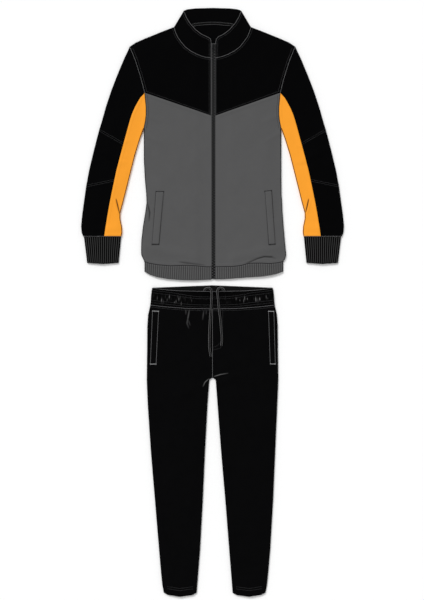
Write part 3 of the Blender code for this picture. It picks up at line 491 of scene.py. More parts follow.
# Small folds: x and y of both ends, half width, height; a trough has a height below 0
FOLD_LINES = (
    # beside the cuffs
    (-269.6, 289.0, -260.5, 251.0, 2.0, -2.2),
    (-274.6, 286.0, -265.5, 249.0, 3.2, 1.2),
    (269.4, 289.0, 261.6, 254.0, 2.0, -2.2),
    (274.2, 286.0, 266.4, 252.0, 3.2, 1.2),
    (-300.0, 192.0, -296.0, 226.0, 5.0, -1.0),
    (-318.0, 190.0, -322.0, 218.0, 6.0, -0.9),
    (312.0, 190.0, 309.0, 222.0, 5.0, -1.0),
    (334.0, 190.0, 338.0, 214.0, 6.0, -0.9),
    # left side of the body
    (-181.0, 275.0, -175.6, 252.0, 2.4, -1.6),
    (-175.6, 252.0, -177.2, 228.0, 2.4, -1.6),
    (-169.5, 268.0, -169.0, 236.0, 4.0, 0.9),
    # above the hem band
    (-93.0, 112.5, -67.0, 109.6, 2.4, -1.4),
    (-67.0, 109.6, -20.0, 103.6, 2.4, -1.3),
    (-90.0, 117.5, -30.0, 110.5, 4.0, 0.8),
    (95.8, 109.6, 127.4, 123.2, 2.4, -1.5),
    (127.4, 123.2, 144.2, 127.9, 2.4, -1.6),
    (144.2, 127.9, 165.8, 127.0, 2.4, -1.6),
    (165.8, 127.0, 177.0, 122.6, 2.4, -1.3),
    (120.0, 127.5, 166.0, 132.5, 4.5, 1.0),
    # crotch
    (4.0, -207.2, 22.0, -201.6, 1.5, 1.5),
    (22.0, -201.6, 43.0, -198.0, 1.5, 1.4),
    (7.0, -213.4, 42.0, -204.6, 3.4, -0.8),
    (-9.8, -213.4, -21.0, -223.0, 1.5, 1.5),
    (-21.0, -223.0, -26.4, -235.0, 1.5, 1.5),
    (-18.0, -228.0, -22.0, -242.0, 3.4, -0.7),
    # under the waistband
    (-74.5, -20.0, -74.5, -33.0, 2.0, 1.1),
    (-64.7, -20.0, -68.6, -43.4, 2.2, 1.2),
    (-68.6, -43.4, -71.4, -58.0, 2.0, 1.1),
    (-71.4, -58.0, -66.4, -72.0, 2.0, 1.0),
    (-67.4, -50.0, -62.6, -64.0, 2.0, 1.0),
    (-24.6, -24.0, -27.4, -47.6, 2.2, 1.1),
    (-17.4, -23.0, -17.6, -33.0, 2.0, 1.0),
    (-132.0, -16.0, -128.0, -48.0, 2.6, -1.0),
    (-112.0, -18.0, -113.0, -36.0, 2.4, -0.9),
    (-93.0, -18.0, -90.0, -52.0, 2.6, -1.0),
    (-46.0, -20.0, -48.0, -39.0, 2.4, -1.0),
    (44.0, -21.0, 46.0, -44.0, 2.6, -1.0),
    (60.0, -20.0, 59.0, -62.0, 2.6, 1.0),
    (82.0, -20.0, 85.0, -38.0, 2.4, -1.0),
    (104.0, -18.0, 103.0, -50.0, 2.6, 1.0),
    (123.0, -17.0, 127.0, -36.0, 2.4, -0.9),
    (146.0, -15.0, 149.0, -46.0, 2.6, -1.0),
    # inside of the elbows
    (-262.0, 446.0, -236.0, 452.0, 4.5, 0.9),
    (-268.0, 404.0, -232.0, 398.0, 5.0, -0.8),
    (262.0, 430.0, 238.0, 440.0, 4.5, 0.9),
    (272.0, 386.0, 240.0, 384.0, 5.0, -0.8),
    (-346.0, 386.0, -312.0, 398.0, 7.0, 1.0),
    (346.0, 372.0, 314.0, 386.0, 7.0, 1.0),
    # underarms
    (-189.0, 470.0, -150.0, 446.0, 6.0, 0.9),
    (-186.0, 520.0, -140.0, 508.0, 7.0, 0.8),
    (189.0, 474.0, 148.0, 452.0, 6.0, 0.9),
    (186.0, 524.0, 142.0, 506.0, 7.0, 0.8),
    # shins and ankles
    (-150.0, -770.0, -118.0, -758.0, 6.0, 0.8),
    (-66.0, -760.0, -96.0, -742.0, 6.0, -0.7),
    (150.0, -764.0, 122.0, -748.0, 6.0, 0.8),
    (68.0, -772.0, 98.0, -758.0, 6.0, -0.7),
)
# Long swells of the cloth: direction in degrees, wave length, height, start in degrees
SWELLS = (
    (18.0, 178.0, 0.34, 40.0),
    (74.0, 131.0, 0.28, 170.0),
    (128.0, 96.0, 0.22, 260.0),
    (41.0, 63.0, 0.13, 75.0),
    (158.0, 49.0, 0.10, 310.0),
)


def smooth(t):
    """0 below 0, 1 above 1, and an even slope between."""
    t = np.clip(t, 0.0, 1.0)
    return t * t * (3 - 2 * t)


def drift(y):
    """How far the trouser legs lie to the right of their centre line."""
    start, end = LEG_DRIFT_Y
    return LEG_DRIFT * smooth((start - np.asarray(y, float)) / (start - end))


def side_line(points, side):
    """A line of the right half, or its mirror image on the left."""
    return np.array(points, float) * (side, 1)


def columns(rows, x_column, side):
    """The line that one column of a section table gives, on one side."""
    return np.array([(row[x_column] * side, row[0]) for row in rows], float)


def leg_line(points):
    """A trouser line moved with the drift of the legs."""
    points = np.array(points, float)
    points[:, 0] += drift(points[:, 1])
    return points


def whole_line(points):
    """A half line from the side to the centre, continued to the other side."""
    right = np.array(points, float)
    return np.concatenate([right * (-1, 1), right[-2::-1]])


def cut(line, start, end, axis=1):
    """The stretch of a line between two values of x (axis 0) or y (axis 1)."""
    values = line[:, axis]
    order = np.argsort(values)
    other = 1 - axis

    def at(value):
        point = np.empty(2)
        point[axis] = value
        point[other] = np.interp(value, values[order], line[order, other])
        return point

    low, high = min(start, end), max(start, end)
    inside = line[(values > low + 1e-6) & (values < high - 1e-6)]
    if len(inside) and (inside[0, axis] - inside[-1, axis]) * (start - end) < 0:
        inside = inside[::-1]
    return np.concatenate([[at(start)], inside, [at(end)]])


def sleeve_line(side):
    """The outer edge from the collar's top to the lower edge of the cuff."""
    return np.concatenate([
        side_line(SHOULDER_EDGE, side),
        columns(SLEEVE, 1, side),
        columns(CUFF, 1, side),
    ])


def inner_sleeve_line(side):
    return np.concatenate([columns(SLEEVE, 3, side), columns(CUFF, 2, side)])


def stripe_line(side):
    """The upper edge of the coloured sleeve panel, from its tip to the cuff."""
    return np.concatenate([side_line(PANEL_TIP, side), columns(SLEEVE, 2, side)[1:]])


def armhole(side, start=SHOULDER_Y, end=UNDERARM_Y):
    """The armhole seam, or the stretch of it between two heights."""
    return cut(side_line(ARMHOLE, side), start, end)


def body_line(side):
    return columns(BODY_SIDES, 1 if side == LEFT else 2, side)


def trouser_side(side):
    return leg_line(columns(TROUSER_SIDE, 1, side))


def inseam(side):
    return leg_line(columns(TROUSER_INSEAM, 1, side))


def zip_edge(side):
    return ZIP_X + side * ZIP_OPENING / 2


def yoke_seam(side):
    """The V seam from the armhole to the edge of the zip."""
    end = np.array(YOKE_END) * (side, 1)
    centre = np.array((ZIP_X, YOKE_POINT_Y))
    share = (zip_edge(side) - end[0]) / (centre[0] - end[0])
    return np.array([end, end + share * (centre - end)])


def back_yoke_seam():
    """The V seam on the back, from armhole to armhole."""
    return np.array([yoke_seam(LEFT)[0], (ZIP_X, YOKE_POINT_Y), yoke_seam(RIGHT)[0]])


def neck_seam(side):
    end = (zip_edge(side), NECK_SEAM_Y)
    return np.concatenate([side_line(NECK_SEAM, side), [end]])


def collar_edge(side):
    corner = [(zip_edge(side) + side * x, y) for x, y in COLLAR_CORNER]
    return np.concatenate([side_line(COLLAR_EDGE, side), corner])


def elbow_seam(side, ends):
    """An elbow seam from the outer edge of the sleeve to the coloured panel."""
    outer = cut(sleeve_line(side), ends[0], ends[0] - 20)[0]
    inner = cut(stripe_line(side), ends[1], ends[1] - 20)[0]
    return np.array([outer, inner])


def cuff_seam(side):
    return np.array([columns(SLEEVE, 1, side)[-1], columns(SLEEVE, 3, side)[-1]])


def leg_edge(side):
    return leg_line(side_line(LEG_EDGE, side))


def fold_of(line, outward):
    """A fold line with its plan normals; outward is 1 where the garment ends to its left."""
    steps = np.diff(line, axis=0)
    normals = np.stack([-steps[:, 1], steps[:, 0]], axis=1) * outward
    normals /= np.linalg.norm(normals, axis=1, keepdims=True)
    at_points = np.concatenate([normals[:1], normals[:-1] + normals[1:], normals[-1:]])
    at_points /= np.linalg.norm(at_points, axis=1, keepdims=True)
    return line, at_points


FOLDS = []
for half in (LEFT, RIGHT):
    FOLDS.append(fold_of(sleeve_line(half), half))
    FOLDS.append(fold_of(inner_sleeve_line(half), -half))
    FOLDS.append(fold_of(body_line(half), half))
    FOLDS.append(fold_of(trouser_side(half), half))
    FOLDS.append(fold_of(inseam(half), -half))


def sewn_lines(face):
    """Every sewn seam on one face of the garment."""
    back = face == BACK
    lines = [
        np.array(BACK_HEM_SEAM if back else HEM_SEAM, float),
        whole_line(WAIST_SEAM),
        np.array([(0.0, WAIST_SEAM[-1][1]), (0.0, TROUSER_INSEAM[0][0])]),
    ]
    if back:
        lines.append(whole_line(BACK_NECK_SEAM))
    for side in (LEFT, RIGHT):
        if not back:
            lines.append(neck_seam(side))
        lines += [yoke_seam(side), armhole(side), stripe_line(side), cuff_seam(side)]
        lines += [elbow_seam(side, UPPER_ELBOW), elbow_seam(side, LOWER_ELBOW)]
    return lines


def distance_to(plan, line):
    """How far each plan point lies from a line."""
    nearest = np.full(len(plan), np.inf)
    for start, end in zip(line[:-1], line[1:]):
        along = end - start
        t = np.clip((plan - start) @ along / (along @ along), 0, 1)
        away = plan - start - t[:, None] * along
        nearest = np.minimum(nearest, np.einsum("ij,ij->i", away, away))
    return np.sqrt(nearest)


SEWN = {face: sewn_lines(face) for face in (FRONT, BACK)}


def fold_distance(plan):
    """For each point: its distance to the nearest fold, and the outward direction there."""
    nearest = np.full(len(plan), np.inf)
    outward = np.zeros((len(plan), 2))
    for line, normals in FOLDS:
        for start, end, first, last in zip(line[:-1], line[1:], normals[:-1], normals[1:]):
            along = end - start
            t = np.clip((plan - start) @ along / (along @ along), 0, 1)
            away = np.linalg.norm(plan - start - t[:, None] * along, axis=1)
            closer = away < nearest
            nearest[closer] = away[closer]
            blend = first + t[closer, None] * (last - first)
            outward[closer] = blend / np.linalg.norm(blend, axis=1, keepdims=True)
    return np.where(nearest < 1e-6, 0, nearest), outward


def creases(plan, table):
    """The height that a table of folds gives each plan point; a fold fades at its free ends."""
    ridge, valley = np.zeros(len(plan)), np.zeros(len(plan))
    starts, ends = {row[:2] for row in table}, {row[2:4] for row in table}
    for x0, y0, x1, y1, half_width, top in table:
        start, along = np.array((x0, y0)), np.array((x1 - x0, y1 - y0))
        t = np.clip((plan - start) @ along / (along @ along), 0, 1)
        across = np.linalg.norm(plan - start - t[:, None] * along, axis=1)
        fade = 1 - FADE * (((x1, y1) not in starts) * t**2 + ((x0, y0) not in ends) * (1 - t) ** 4)
        rise = top * fade * np.exp(-((across / half_width) ** 2))
        ridge, valley = np.maximum(ridge, rise), np.minimum(valley, rise)
    return ridge + valley


def rolling(plan):
    """Low uneven swells over the whole front."""
    rise = np.zeros(len(plan))
    for degrees, length, top, start in SWELLS:
        angle = math.radians(degrees)
        along = plan @ (math.cos(angle), math.sin(angle))
        bend = WAVER * np.sin(plan @ (-math.sin(angle), math.cos(angle)) / WAVER_LENGTH)
        rise += top * np.sin(2 * math.pi * (along + bend) / length + math.radians(start))
    return rise


def sewn_relief(plan, face):
    """Grooves along the seams, and on the front the lift of the edges turned under them."""
    away = np.full(len(plan), np.inf)
    for line in SEWN[face]:
        away = np.minimum(away, distance_to(plan, line))
    groove = -GROOVE_DEPTH * np.exp(-((away / GROOVE_WIDTH) ** 2))
    if face == BACK:
        return groove
    lift = smooth(away / TURNED_START) * (1 - smooth((away - TURNED_WIDTH) / TURNED_END))
    return groove + TURNED_LIFT * lift


def swell(plan):
    """How far the front rises above the height of its folded edges."""
    away, _ = fold_distance(plan)
    x, y = plan[:, 0], plan[:, 1]
    from_zip = abs(x - ZIP_X)
    beside = smooth((from_zip - ZIP_CALM) / CALM_WIDTH)
    calm = np.where((y > 0) & (from_zip < CALM_REACH), beside, 1)
    inside = smooth(away / CREASE_REACH)
    large = creases(plan, CREASES) * calm
    small = creases(plan, FOLD_LINES) * smooth(away / SMALL_FOLD_REACH)
    height = LOFT * smooth(away / LOFT_REACH) * np.where(y > 0, calm, 1)
    return height + (large + rolling(plan) * calm) * inside + small + sewn_relief(plan, FRONT)


def surface(grid, face):
    """Points and normals of the garment's outer surface over a plan grid."""
    plan = grid.reshape(-1, 2)
    away, outward = fold_distance(plan)
    turned = np.clip(FOLD_RADIUS - away, 0, None) / FOLD_RADIUS
    level = np.sqrt(1 - turned**2)
    slope = np.zeros((len(plan), 2))
    if face == FRONT:
        rise = swell(plan)
        for axis in (0, 1):
            shifted = swell(plan + np.eye(2)[axis] * SLOPE_STEP)
            slope[:, axis] = (shifted - rise) / SLOPE_STEP
    else:
        rise = sewn_relief(plan, BACK)
    height = face * (SEAM_GAP / 2 + FOLD_RADIUS * level + rise)
    normals = np.concatenate(
        [outward * turned[:, None] - slope * level[:, None], face * level[:, None]], axis=1
    )
    normals /= np.linalg.norm(normals, axis=1, keepdims=True)
    points = np.concatenate([plan, (MIDDLE + height)[:, None]], axis=1)
    shape = grid.shape[:-1] + (3,)
    return points.reshape(shape), normals.reshape(shape)


def length_of(line):
    return np.linalg.norm(np.diff(line, axis=0), axis=1).sum()


def shares(line, levels=None):
    """How far along a line each point lies, from 0 to 1: by length, or by its y between levels."""
    if levels:
        at = (levels[0] - line[:, 1]) / (levels[0] - levels[1])
        at[[0, -1]] = 0, 1
        return at
    along = np.concatenate([[0], np.cumsum(np.linalg.norm(np.diff(line, axis=0), axis=1))])
    return along / along[-1]


def along_line(line, at, levels=None):
    knots = shares(line, levels)
    return np.stack([np.interp(at, knots, line[:, k]) for k in (0, 1)], axis=-1)


def bands_on(line, places, axis, levels=None):
    """The shares of the way along a line between which it passes these places."""
    known, at = shares(line, levels), line[:, axis]
    order = np.argsort(at)
    return [np.sort(np.interp(pair, at[order], known[order])) for pair in places]


def stations(lines, step, first="plain", last="plain", levels=None, fine=()):
    """Where a grid has its rows: at each point of both lines, close at its edges, then in steps."""
    size = np.mean([length_of(line) for line in lines])
    at = np.concatenate([shares(line, levels) for line in lines] + list(fine))
    at = np.concatenate([at, np.array(BESIDE[first]) / size, 1 - np.array(BESIDE[last]) / size])
    at = np.unique(np.round(at[(at >= 0) & (at <= 1)], 6))
    at = at[np.concatenate([[True], np.diff(at) > CLOSEST])]
    filled = [0.0]
    for value in at[1:]:
        middle = (value + filled[-1]) / 2
        near = FINE_STEP if any(start < middle < end for start, end in fine) else step
        parts = max(1, math.ceil((value - filled[-1]) * size / near - STEP_SLACK))
        filled += list(np.linspace(filled[-1], value, parts + 1)[1:])
    return np.array(filled)


def patch(left, right, top, bottom, across, down, levels=None):
    """A plan grid that fills four edge lines; rows run down and columns across."""
    v, u = down[:, None, None], across[None, :, None]
    rows = [along_line(line, down, levels)[:, None] for line in (left, right)]
    sides = (1 - u) * rows[0] + u * rows[1]
    ends = (1 - v) * along_line(top, across)[None] + v * along_line(bottom, across)[None]
    corners = (1 - v) * ((1 - u) * top[0] + u * top[-1]) + v * (
        (1 - u) * bottom[0] + u * bottom[-1]
    )
    return sides + ends - corners


def part_seams(grid, edges):
    """Draws the named edges of a plan grid back by half a seam gap."""
    grid = grid.copy()
    turns = {"top": (0, 1), "bottom": (-1, -2)}
    for edge in edges:
        rows = grid if edge in turns else grid.transpose(1, 0, 2)
        first, second = turns.get(edge, (0, 1) if edge == "left" else (-1, -2))
        run = np.gradient(rows[first], axis=0)
        run /= np.linalg.norm(run, axis=1, keepdims=True)
        back = rows[second] - rows[first]
        back /= np.linalg.norm(back, axis=1, keepdims=True)
        sine = np.abs(run[:, 0] * back[:, 1] - run[:, 1] * back[:, 0])
        rows[first] += back * (SEAM_GAP / 2 / np.clip(sine, 0.35, 1))[:, None]
    return grid


def cloth_lengths(points):
    """Distance across and down the cloth to each point of a grid, in metres."""
    across = np.linalg.norm(np.diff(points, axis=1), axis=2)
    down = np.linalg.norm(np.diff(points, axis=0), axis=2).mean(axis=1)
    u = np.concatenate([np.zeros((len(points), 1)), np.cumsum(across, axis=1)], axis=1)
    v = np.concatenate([[0], np.cumsum(down)])[:, None] * np.ones((1, points.shape[1]))
    return np.stack([u, v], axis=2).reshape(-1, 2) * MM


def put(name, data):
    """A new object in the scene."""
    made = bpy.data.objects.new(name, data)
    bpy.context.scene.collection.objects.link(made)
    return made


def evaluated(piece):
    """The mesh of a piece with its modifiers applied."""
    graph = bpy.context.evaluated_depsgraph_get()
    return bpy.data.meshes.new_from_object(piece.evaluated_get(graph))


def map_cloth(mesh, places):
    """The cloth map of a mesh, from one place for each of its points."""
    at = np.empty(len(mesh.loops), np.int32)
    mesh.loops.foreach_get("vertex_index", at)
    mesh.uv_layers.new(name="cloth").data.foreach_set("uv", places[at].ravel())


def at_height(plan, z):
    """Plan points at one height."""
    return np.concatenate([plan, np.full(plan.shape[:-1] + (1,), z)], axis=-1)


def add_mesh(name, points, faces, finish, cloth_map=None, **painted_light):
    """An object from points in millimetres, its faces turned outwards."""
    points = np.asarray(points, float)
    corners = np.array([(f[0], f[1], f[2]) for f in faces] + [(f[0], f[2], f[-1]) for f in faces])
    if np.linalg.det(points[corners]).sum() < 0:
        faces = [face[::-1] for face in faces]
    mesh = bpy.data.meshes.new(name)
    mesh.from_pydata((points * MM).tolist(), [], [tuple(int(i) for i in f) for f in faces])
    mesh.materials.append(FINISH[finish])
    mesh.shade_smooth()
    mesh.set_sharp_from_angle(angle=math.radians(55))
    if cloth_map is not None:
        map_cloth(mesh, cloth_map)
    for label, values in painted_light.items():
        mesh.attributes.new(label, "FLOAT", "POINT").data.foreach_set("value", values)
    return put(name, mesh)


def dress(piece, slot, *nodes, body="suit"):
    """The piece stands for these CAD nodes, which it hides, and rides on a body; the slot is not
    used.
    """
    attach(piece, body)
    if nodes:
        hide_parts(*nodes)


def wall_between(name, outer, inner, finish, closed=False, **painted_light):
    """A closed wall between two grids of the same shape; closed joins its first and last column."""
    rows, cols = outer.shape[:2]
    index = np.arange(rows * cols).reshape(rows, cols)
    if closed:
        index = np.concatenate([index, index[:, :1]], axis=1)
    back = index + rows * cols
    faces = []

    def strip(a, b):
        faces.extend(zip(a[:-1], a[1:], b[1:], b[:-1]))

    for row in range(rows - 1):
        strip(index[row], index[row + 1])
        strip(back[row + 1], back[row])
    strip(back[0], index[0])
    strip(index[-1], back[-1])
    if not closed:
        strip(index[:, 0], back[:, 0])
        strip(back[:, -1], index[:, -1])
    points = np.concatenate([outer.reshape(-1, 3), inner.reshape(-1, 3)])
    cloth_map = np.tile(cloth_lengths(outer), (2, 1))
    painted_light = {label: np.tile(np.ravel(values), 2) for label, values in painted_light.items()}
    return add_mesh(name, points, faces, finish, cloth_map, **painted_light)


def painted_fold_light(points, normals):
    """Painted light of sharp folds: 1 for a painted highlight on the ridge, -1 for painted shade in
    the valley, on the front only.
    """
    sharp = [row for row in FOLD_LINES if row[4] < SHARP_FOLD]
    rise = creases(points[..., :2].reshape(-1, 2), sharp) / FOLD_RISE
    shade = np.sign(rise) * np.abs(rise) ** SHADE_POWER * (normals[..., 2].ravel() > 0)
    return np.clip(shade, -1, 1)


def laid_out(skin, closed=False):
    if closed:
        skin = np.concatenate([skin, skin[:, :1]], axis=1)


def cloth(name, node, slot, skin, finish, wall=WALL, depth=0.0, relief=None, closed=False, on=(),
          **painted_light):
    """A cloth wall under an outer surface, which relief raises and depth sinks."""
    points, normals = skin
    raised = np.zeros(points.shape[:2]) if relief is None else relief
    outer = points + normals * (raised[..., None] - depth)
    inner = points - normals * (depth + wall)
    # The fold attribute carries the painted highlight and painted shade of sharp folds
    painted_light["fold"] = painted_fold_light(points, normals)
    piece = wall_between(name, outer, inner, finish, closed, **painted_light)
    laid_out(points, closed)
    dress(piece, slot, node)


def joined(*skins):
    """Surfaces side by side, each given as a grid and its face, made one."""
    made = [surface(grid, face) for grid, face in skins]
    return tuple(np.concatenate([skin[k] for skin in made], axis=1) for k in (0, 1))


# Materials

COURSE_SHARE = 0.8
KNIT_DEPTH = 0.1
PLASTIC_DEPTH = 0.05
MATT_SPECULAR = 0.06


def set_inputs(node, **values):
    """Sets a node's inputs by name, with _ in place of a space."""
    for label, value in values.items():
        node.inputs[label.replace("_", " ")].default_value = value
    return node


def feed(tree, sockets, values):
    """Gives each socket its value: another socket, a number or a colour."""
    for socket, value in zip(sockets, values):
        if isinstance(value, bpy.types.NodeSocket):
            tree.links.new(value, socket)
        else:
            socket.default_value = (*value, 1) if isinstance(value, tuple) else value


def blank(name, colour, roughness, metallic=0.0):
    """A material, its node tree and its Principled shader."""
    made = bpy.data.materials.new(name)
    made.use_nodes = True
    shader = made.node_tree.nodes["Principled BSDF"]
    set_inputs(shader, Base_Color=(*colour, 1), Roughness=roughness, Metallic=metallic)
    made.diffuse_color = (*colour, 1)
    return made, made.node_tree, shader


def cloth_place(tree):
    """Distances across and down the cloth."""
    made = tree.nodes.new("ShaderNodeUVMap")
    made.uv_map = "cloth"
    return made.outputs[0]


def attribute(tree, label):
    """A value that the points of the piece carry."""
    made = tree.nodes.new("ShaderNodeAttribute")
    made.attribute_name = label
    return made.outputs["Fac"]


def noise(tree, **values):
    """Uneven patches in the piece's own space."""
    place = tree.nodes.new("ShaderNodeTexCoord")
    made = set_inputs(tree.nodes.new("ShaderNodeTexNoise"), **values)
    tree.links.new(place.outputs["Object"], made.inputs["Vector"])
    return made.outputs["Fac"]


def wave(tree, source, direction, period):
    """Even bands of this period, in millimetres."""
    bands = tree.nodes.new("ShaderNodeTexWave")
    bands.wave_type = "BANDS"
    bands.bands_direction = direction
    bands.wave_profile = "SIN"
    set_inputs(bands, Scale=2 * math.pi / 20 / (period * MM))
    tree.links.new(source, bands.inputs["Vector"])
    return bands.outputs["Fac"]


def math_node(tree, operation, first, second):
    """A maths node fed by sockets or plain numbers."""
    made = tree.nodes.new("ShaderNodeMath")
    made.operation = operation
    feed(tree, made.inputs, (first, second))
    return made.outputs[0]


def mixed(tree, factor, low, high):
    """A colour between two colours, by a factor socket."""
    mix = tree.nodes.new("ShaderNodeMix")
    mix.data_type = "RGBA"
    mix.clamp_factor = True
    feed(tree, (mix.inputs["Factor"], mix.inputs[6], mix.inputs[7]), (factor, low, high))
    return mix.outputs[2]


def scaled(colour, share):
    return tuple(min(1.0, part * share) for part in colour)


def paint(tree, shader, shade, **values):
    """Links a shader's colour and sets its even values."""
    tree.links.new(shade, shader.inputs["Base Color"])
    set_inputs(shader, **values)


def grain(tree, shader, height, strength, depth):
    """Fine relief from a height socket; the depth is in millimetres."""
    bump = set_inputs(tree.nodes.new("ShaderNodeBump"), Strength=strength, Distance=depth * MM)
    tree.links.new(height, bump.inputs["Height"])
    tree.links.new(bump.outputs[0], shader.inputs["Normal"])


def knit(name, colour, pitch, spread, sheen, specular, crest=None, crest_power=3.0, folds=None):
    """A knit cloth: wales and courses, a soft mottle, and painted shade and painted highlight on
    rib grooves and crests and on its folds.
    """
    finish, tree, shader = blank(name, colour, 0.62)
    place = cloth_place(tree)
    wales, courses = wave(tree, place, "X", pitch), wave(tree, place, "Y", pitch * COURSE_SHARE)
    loops = math_node(tree, "MULTIPLY", wales, courses)
    mottle = math_node(tree, "MULTIPLY", noise(tree, Scale=42, Detail=5, Roughness=0.62), 0.8)
    share = math_node(tree, "ADD", mottle, math_node(tree, "MULTIPLY", loops, 0.35))
    shade = mixed(tree, share, scaled(colour, 1 - spread), scaled(colour, 1 + spread))
    # Painted shade in the grooves and a painted highlight on the crests of ribs and gathers
    if crest:
        groove, top = crest
        ribs = attribute(tree, "crest")
        shade = mixed(tree, ribs, groove, shade)
        shade = mixed(tree, math_node(tree, "POWER", ribs, crest_power), shade, top)
    # Painted highlight on the ridges of sharp folds and painted shade in their valleys
    if folds:
        valley, ridge = folds
        bend = attribute(tree, "fold")
        shade = mixed(tree, bend, shade, ridge)
        shade = mixed(tree, math_node(tree, "MULTIPLY", bend, -1.0), shade, valley)
    paint(tree, shader, shade, Specular_IOR_Level=specular, Sheen_Weight=sheen, Sheen_Roughness=0.3)
    grain(tree, shader, loops, 0.55, KNIT_DEPTH)
    return finish


def weave(name, colour, pitch, spread, depth, rim_highlight=None):
    """A woven or braided surface: two sets of slanted threads over each other."""
    finish, tree, shader = blank(name, colour, 0.75)
    place = cloth_place(tree)
    threads = []
    for turn in (1, -1):
        turned = tree.nodes.new("ShaderNodeMapping")
        set_inputs(turned, Rotation=(0, 0, turn * math.pi / 4))
        tree.links.new(place, turned.inputs["Vector"])
        threads.append(wave(tree, turned.outputs[0], "X", pitch))
    height = math_node(tree, "MAXIMUM", *threads)
    shade = mixed(tree, height, scaled(colour, 1 - spread), scaled(colour, 1 + spread))
    # A painted rim highlight where the crest attribute is high
    if rim_highlight:
        shade = mixed(tree, attribute(tree, "crest"), shade, rim_highlight)
    paint(tree, shader, shade, Specular_IOR_Level=MATT_SPECULAR)
    grain(tree, shader, height, 0.7, depth)
    return finish


def moulded(name, colour, roughness, scale):
    """Moulded plastic with a fine grain, slightly uneven in tone."""
    finish, tree, shader = blank(name, colour, roughness)
    height = noise(tree, Scale=scale, Detail=3)
    shade = mixed(tree, height, scaled(colour, 0.8), scaled(colour, 1.2))
    paint(tree, shader, shade, Specular_IOR_Level=MATT_SPECULAR)
    grain(tree, shader, height, 0.2, PLASTIC_DEPTH)
    return finish


def lacquer(name, colour):
    """Black lacquer over cast metal, worn a little brighter here and there."""
    finish, tree, shader = blank(name, colour, 0.38, 0.6)
    worn = math_node(tree, "POWER", noise(tree, Scale=700, Detail=4), 3.0)
    shade = mixed(tree, worn, colour, scaled(colour, 4))
    paint(tree, shader, shade, Specular_IOR_Level=0.2, Coat_Weight=0.12, Coat_Roughness=0.2)
    return finish


# Colours, and the pairs of painted shade that grooves or valleys reach and painted highlight that
# crests or ridges reach
BLACK = (0.0014, 0.0014, 0.0016)
JET = (0.0022, 0.0022, 0.0024)
GREY = (0.082, 0.082, 0.083)
ORANGE = (0.90, 0.335, 0.024)
BLACK_FOLD_SHADE_AND_HIGHLIGHT = (0.0006,) * 3, (0.012,) * 3
JET_FOLD_SHADE_AND_HIGHLIGHT = (0.0008,) * 3, (0.13,) * 3
GREY_FOLD_SHADE_AND_HIGHLIGHT = (0.022,) * 3, (0.095,) * 3
ORANGE_FOLD_SHADE_AND_HIGHLIGHT = (0.05, 0.02, 0.006), (0.92, 0.36, 0.03)
RIB_SHADE_AND_HIGHLIGHT = (0.0006,) * 3, (0.070,) * 3
HEM_RIB_SHADE_AND_HIGHLIGHT = (0.018,) * 3, (0.086,) * 3
FINISH = {
    "black": knit("black tricot", BLACK, 0.9, 0.25, 0.02, 0.01, folds=BLACK_FOLD_SHADE_AND_HIGHLIGHT),
    "grey": knit("grey tricot", GREY, 0.9, 0.07, 0.04, 0.1, folds=GREY_FOLD_SHADE_AND_HIGHLIGHT),
    "orange": knit("orange tricot", ORANGE, 0.9, 0.05, 0.04, 0.1, folds=ORANGE_FOLD_SHADE_AND_HIGHLIGHT),
    "cuff": knit("black rib knit", (0.0014,) * 3, 0.9, 0.25, 0.02, 0.01, RIB_SHADE_AND_HIGHLIGHT, 15.0),
    "hem": knit("grey rib knit", (0.078, 0.078, 0.080), 0.9, 0.07, 0.04, 0.1, HEM_RIB_SHADE_AND_HIGHLIGHT),
    "trouser": knit("black trouser tricot", JET, 0.9, 0.25, 0.02, 0.01, folds=JET_FOLD_SHADE_AND_HIGHLIGHT),
    # Painted shade between the gathers and a painted highlight on their ridges
    "waistband": knit("black gathered knit", JET, 0.9, 0.25, 0.03, 0.01,
                      ((0.0010,) * 3, (0.15,) * 3), 5.0),
    "neck_tape": weave("neck tape weave", (0.0022,) * 3, 1.1, 0.3, 0.12),
    "zip_tape": weave("zip tape weave", (0.046, 0.046, 0.047), 0.8, 0.3, 0.12),
    # The cord's painted rim highlight along its sides
    "cord": weave("braided cord", (0.0025,) * 3, 1.5, 0.4, 0.35, rim_highlight=(0.36,) * 3),
    "teeth": moulded("moulded zip teeth", (0.0010,) * 3, 0.42, 900),
    "metal": lacquer("lacquered zip metal", (0.0045, 0.0045, 0.005)),
    "dim_thread": weave("black topstitch thread", (0.050, 0.050, 0.052), 0.35, 0.3, 0.05),
    "seam_thread": weave("grey seam thread", (0.17, 0.17, 0.174), 0.35, 0.25, 0.05),
    "dark_thread": weave("black seam thread", (0.010, 0.010, 0.011), 0.35, 0.3, 0.05),
    "tack_thread": weave("pale bar tack thread", (0.30, 0.30, 0.305), 0.35, 0.2, 0.05),
}


# Rows of stitches and teeth, laid by geometry nodes

def tree_with(name, sockets):
    """An empty geometry tree with these inputs: name and socket type."""
    tree = bpy.data.node_groups.new(name, "GeometryNodeTree")
    tree.interface.new_socket("Geometry", in_out="INPUT", socket_type="NodeSocketGeometry")
    for label, kind in sockets:
        tree.interface.new_socket(label, in_out="INPUT", socket_type=kind)
    tree.interface.new_socket("Geometry", in_out="OUTPUT", socket_type="NodeSocketGeometry")
    return tree, tree.nodes.new("NodeGroupInput"), tree.nodes.new("NodeGroupOutput")


def wire(tree, rows):
    """Links nodes: from node, its output, to node, its input."""
    for source, output, target, socket in rows:
        tree.links.new(source.outputs[output], target.inputs[socket])


def made_real(tree, placed, given, finish, made):
    """Ends a tree: its instances are made real and get their finish."""
    real = tree.nodes.new("GeometryNodeRealizeInstances")
    painted = tree.nodes.new("GeometryNodeSetMaterial")
    wire(tree, (
        (placed, "Instances", real, "Geometry"),
        (real, "Geometry", painted, "Geometry"),
        (given, finish, painted, "Material"),
        (painted, "Geometry", made, "Geometry"),
    ))
    return tree


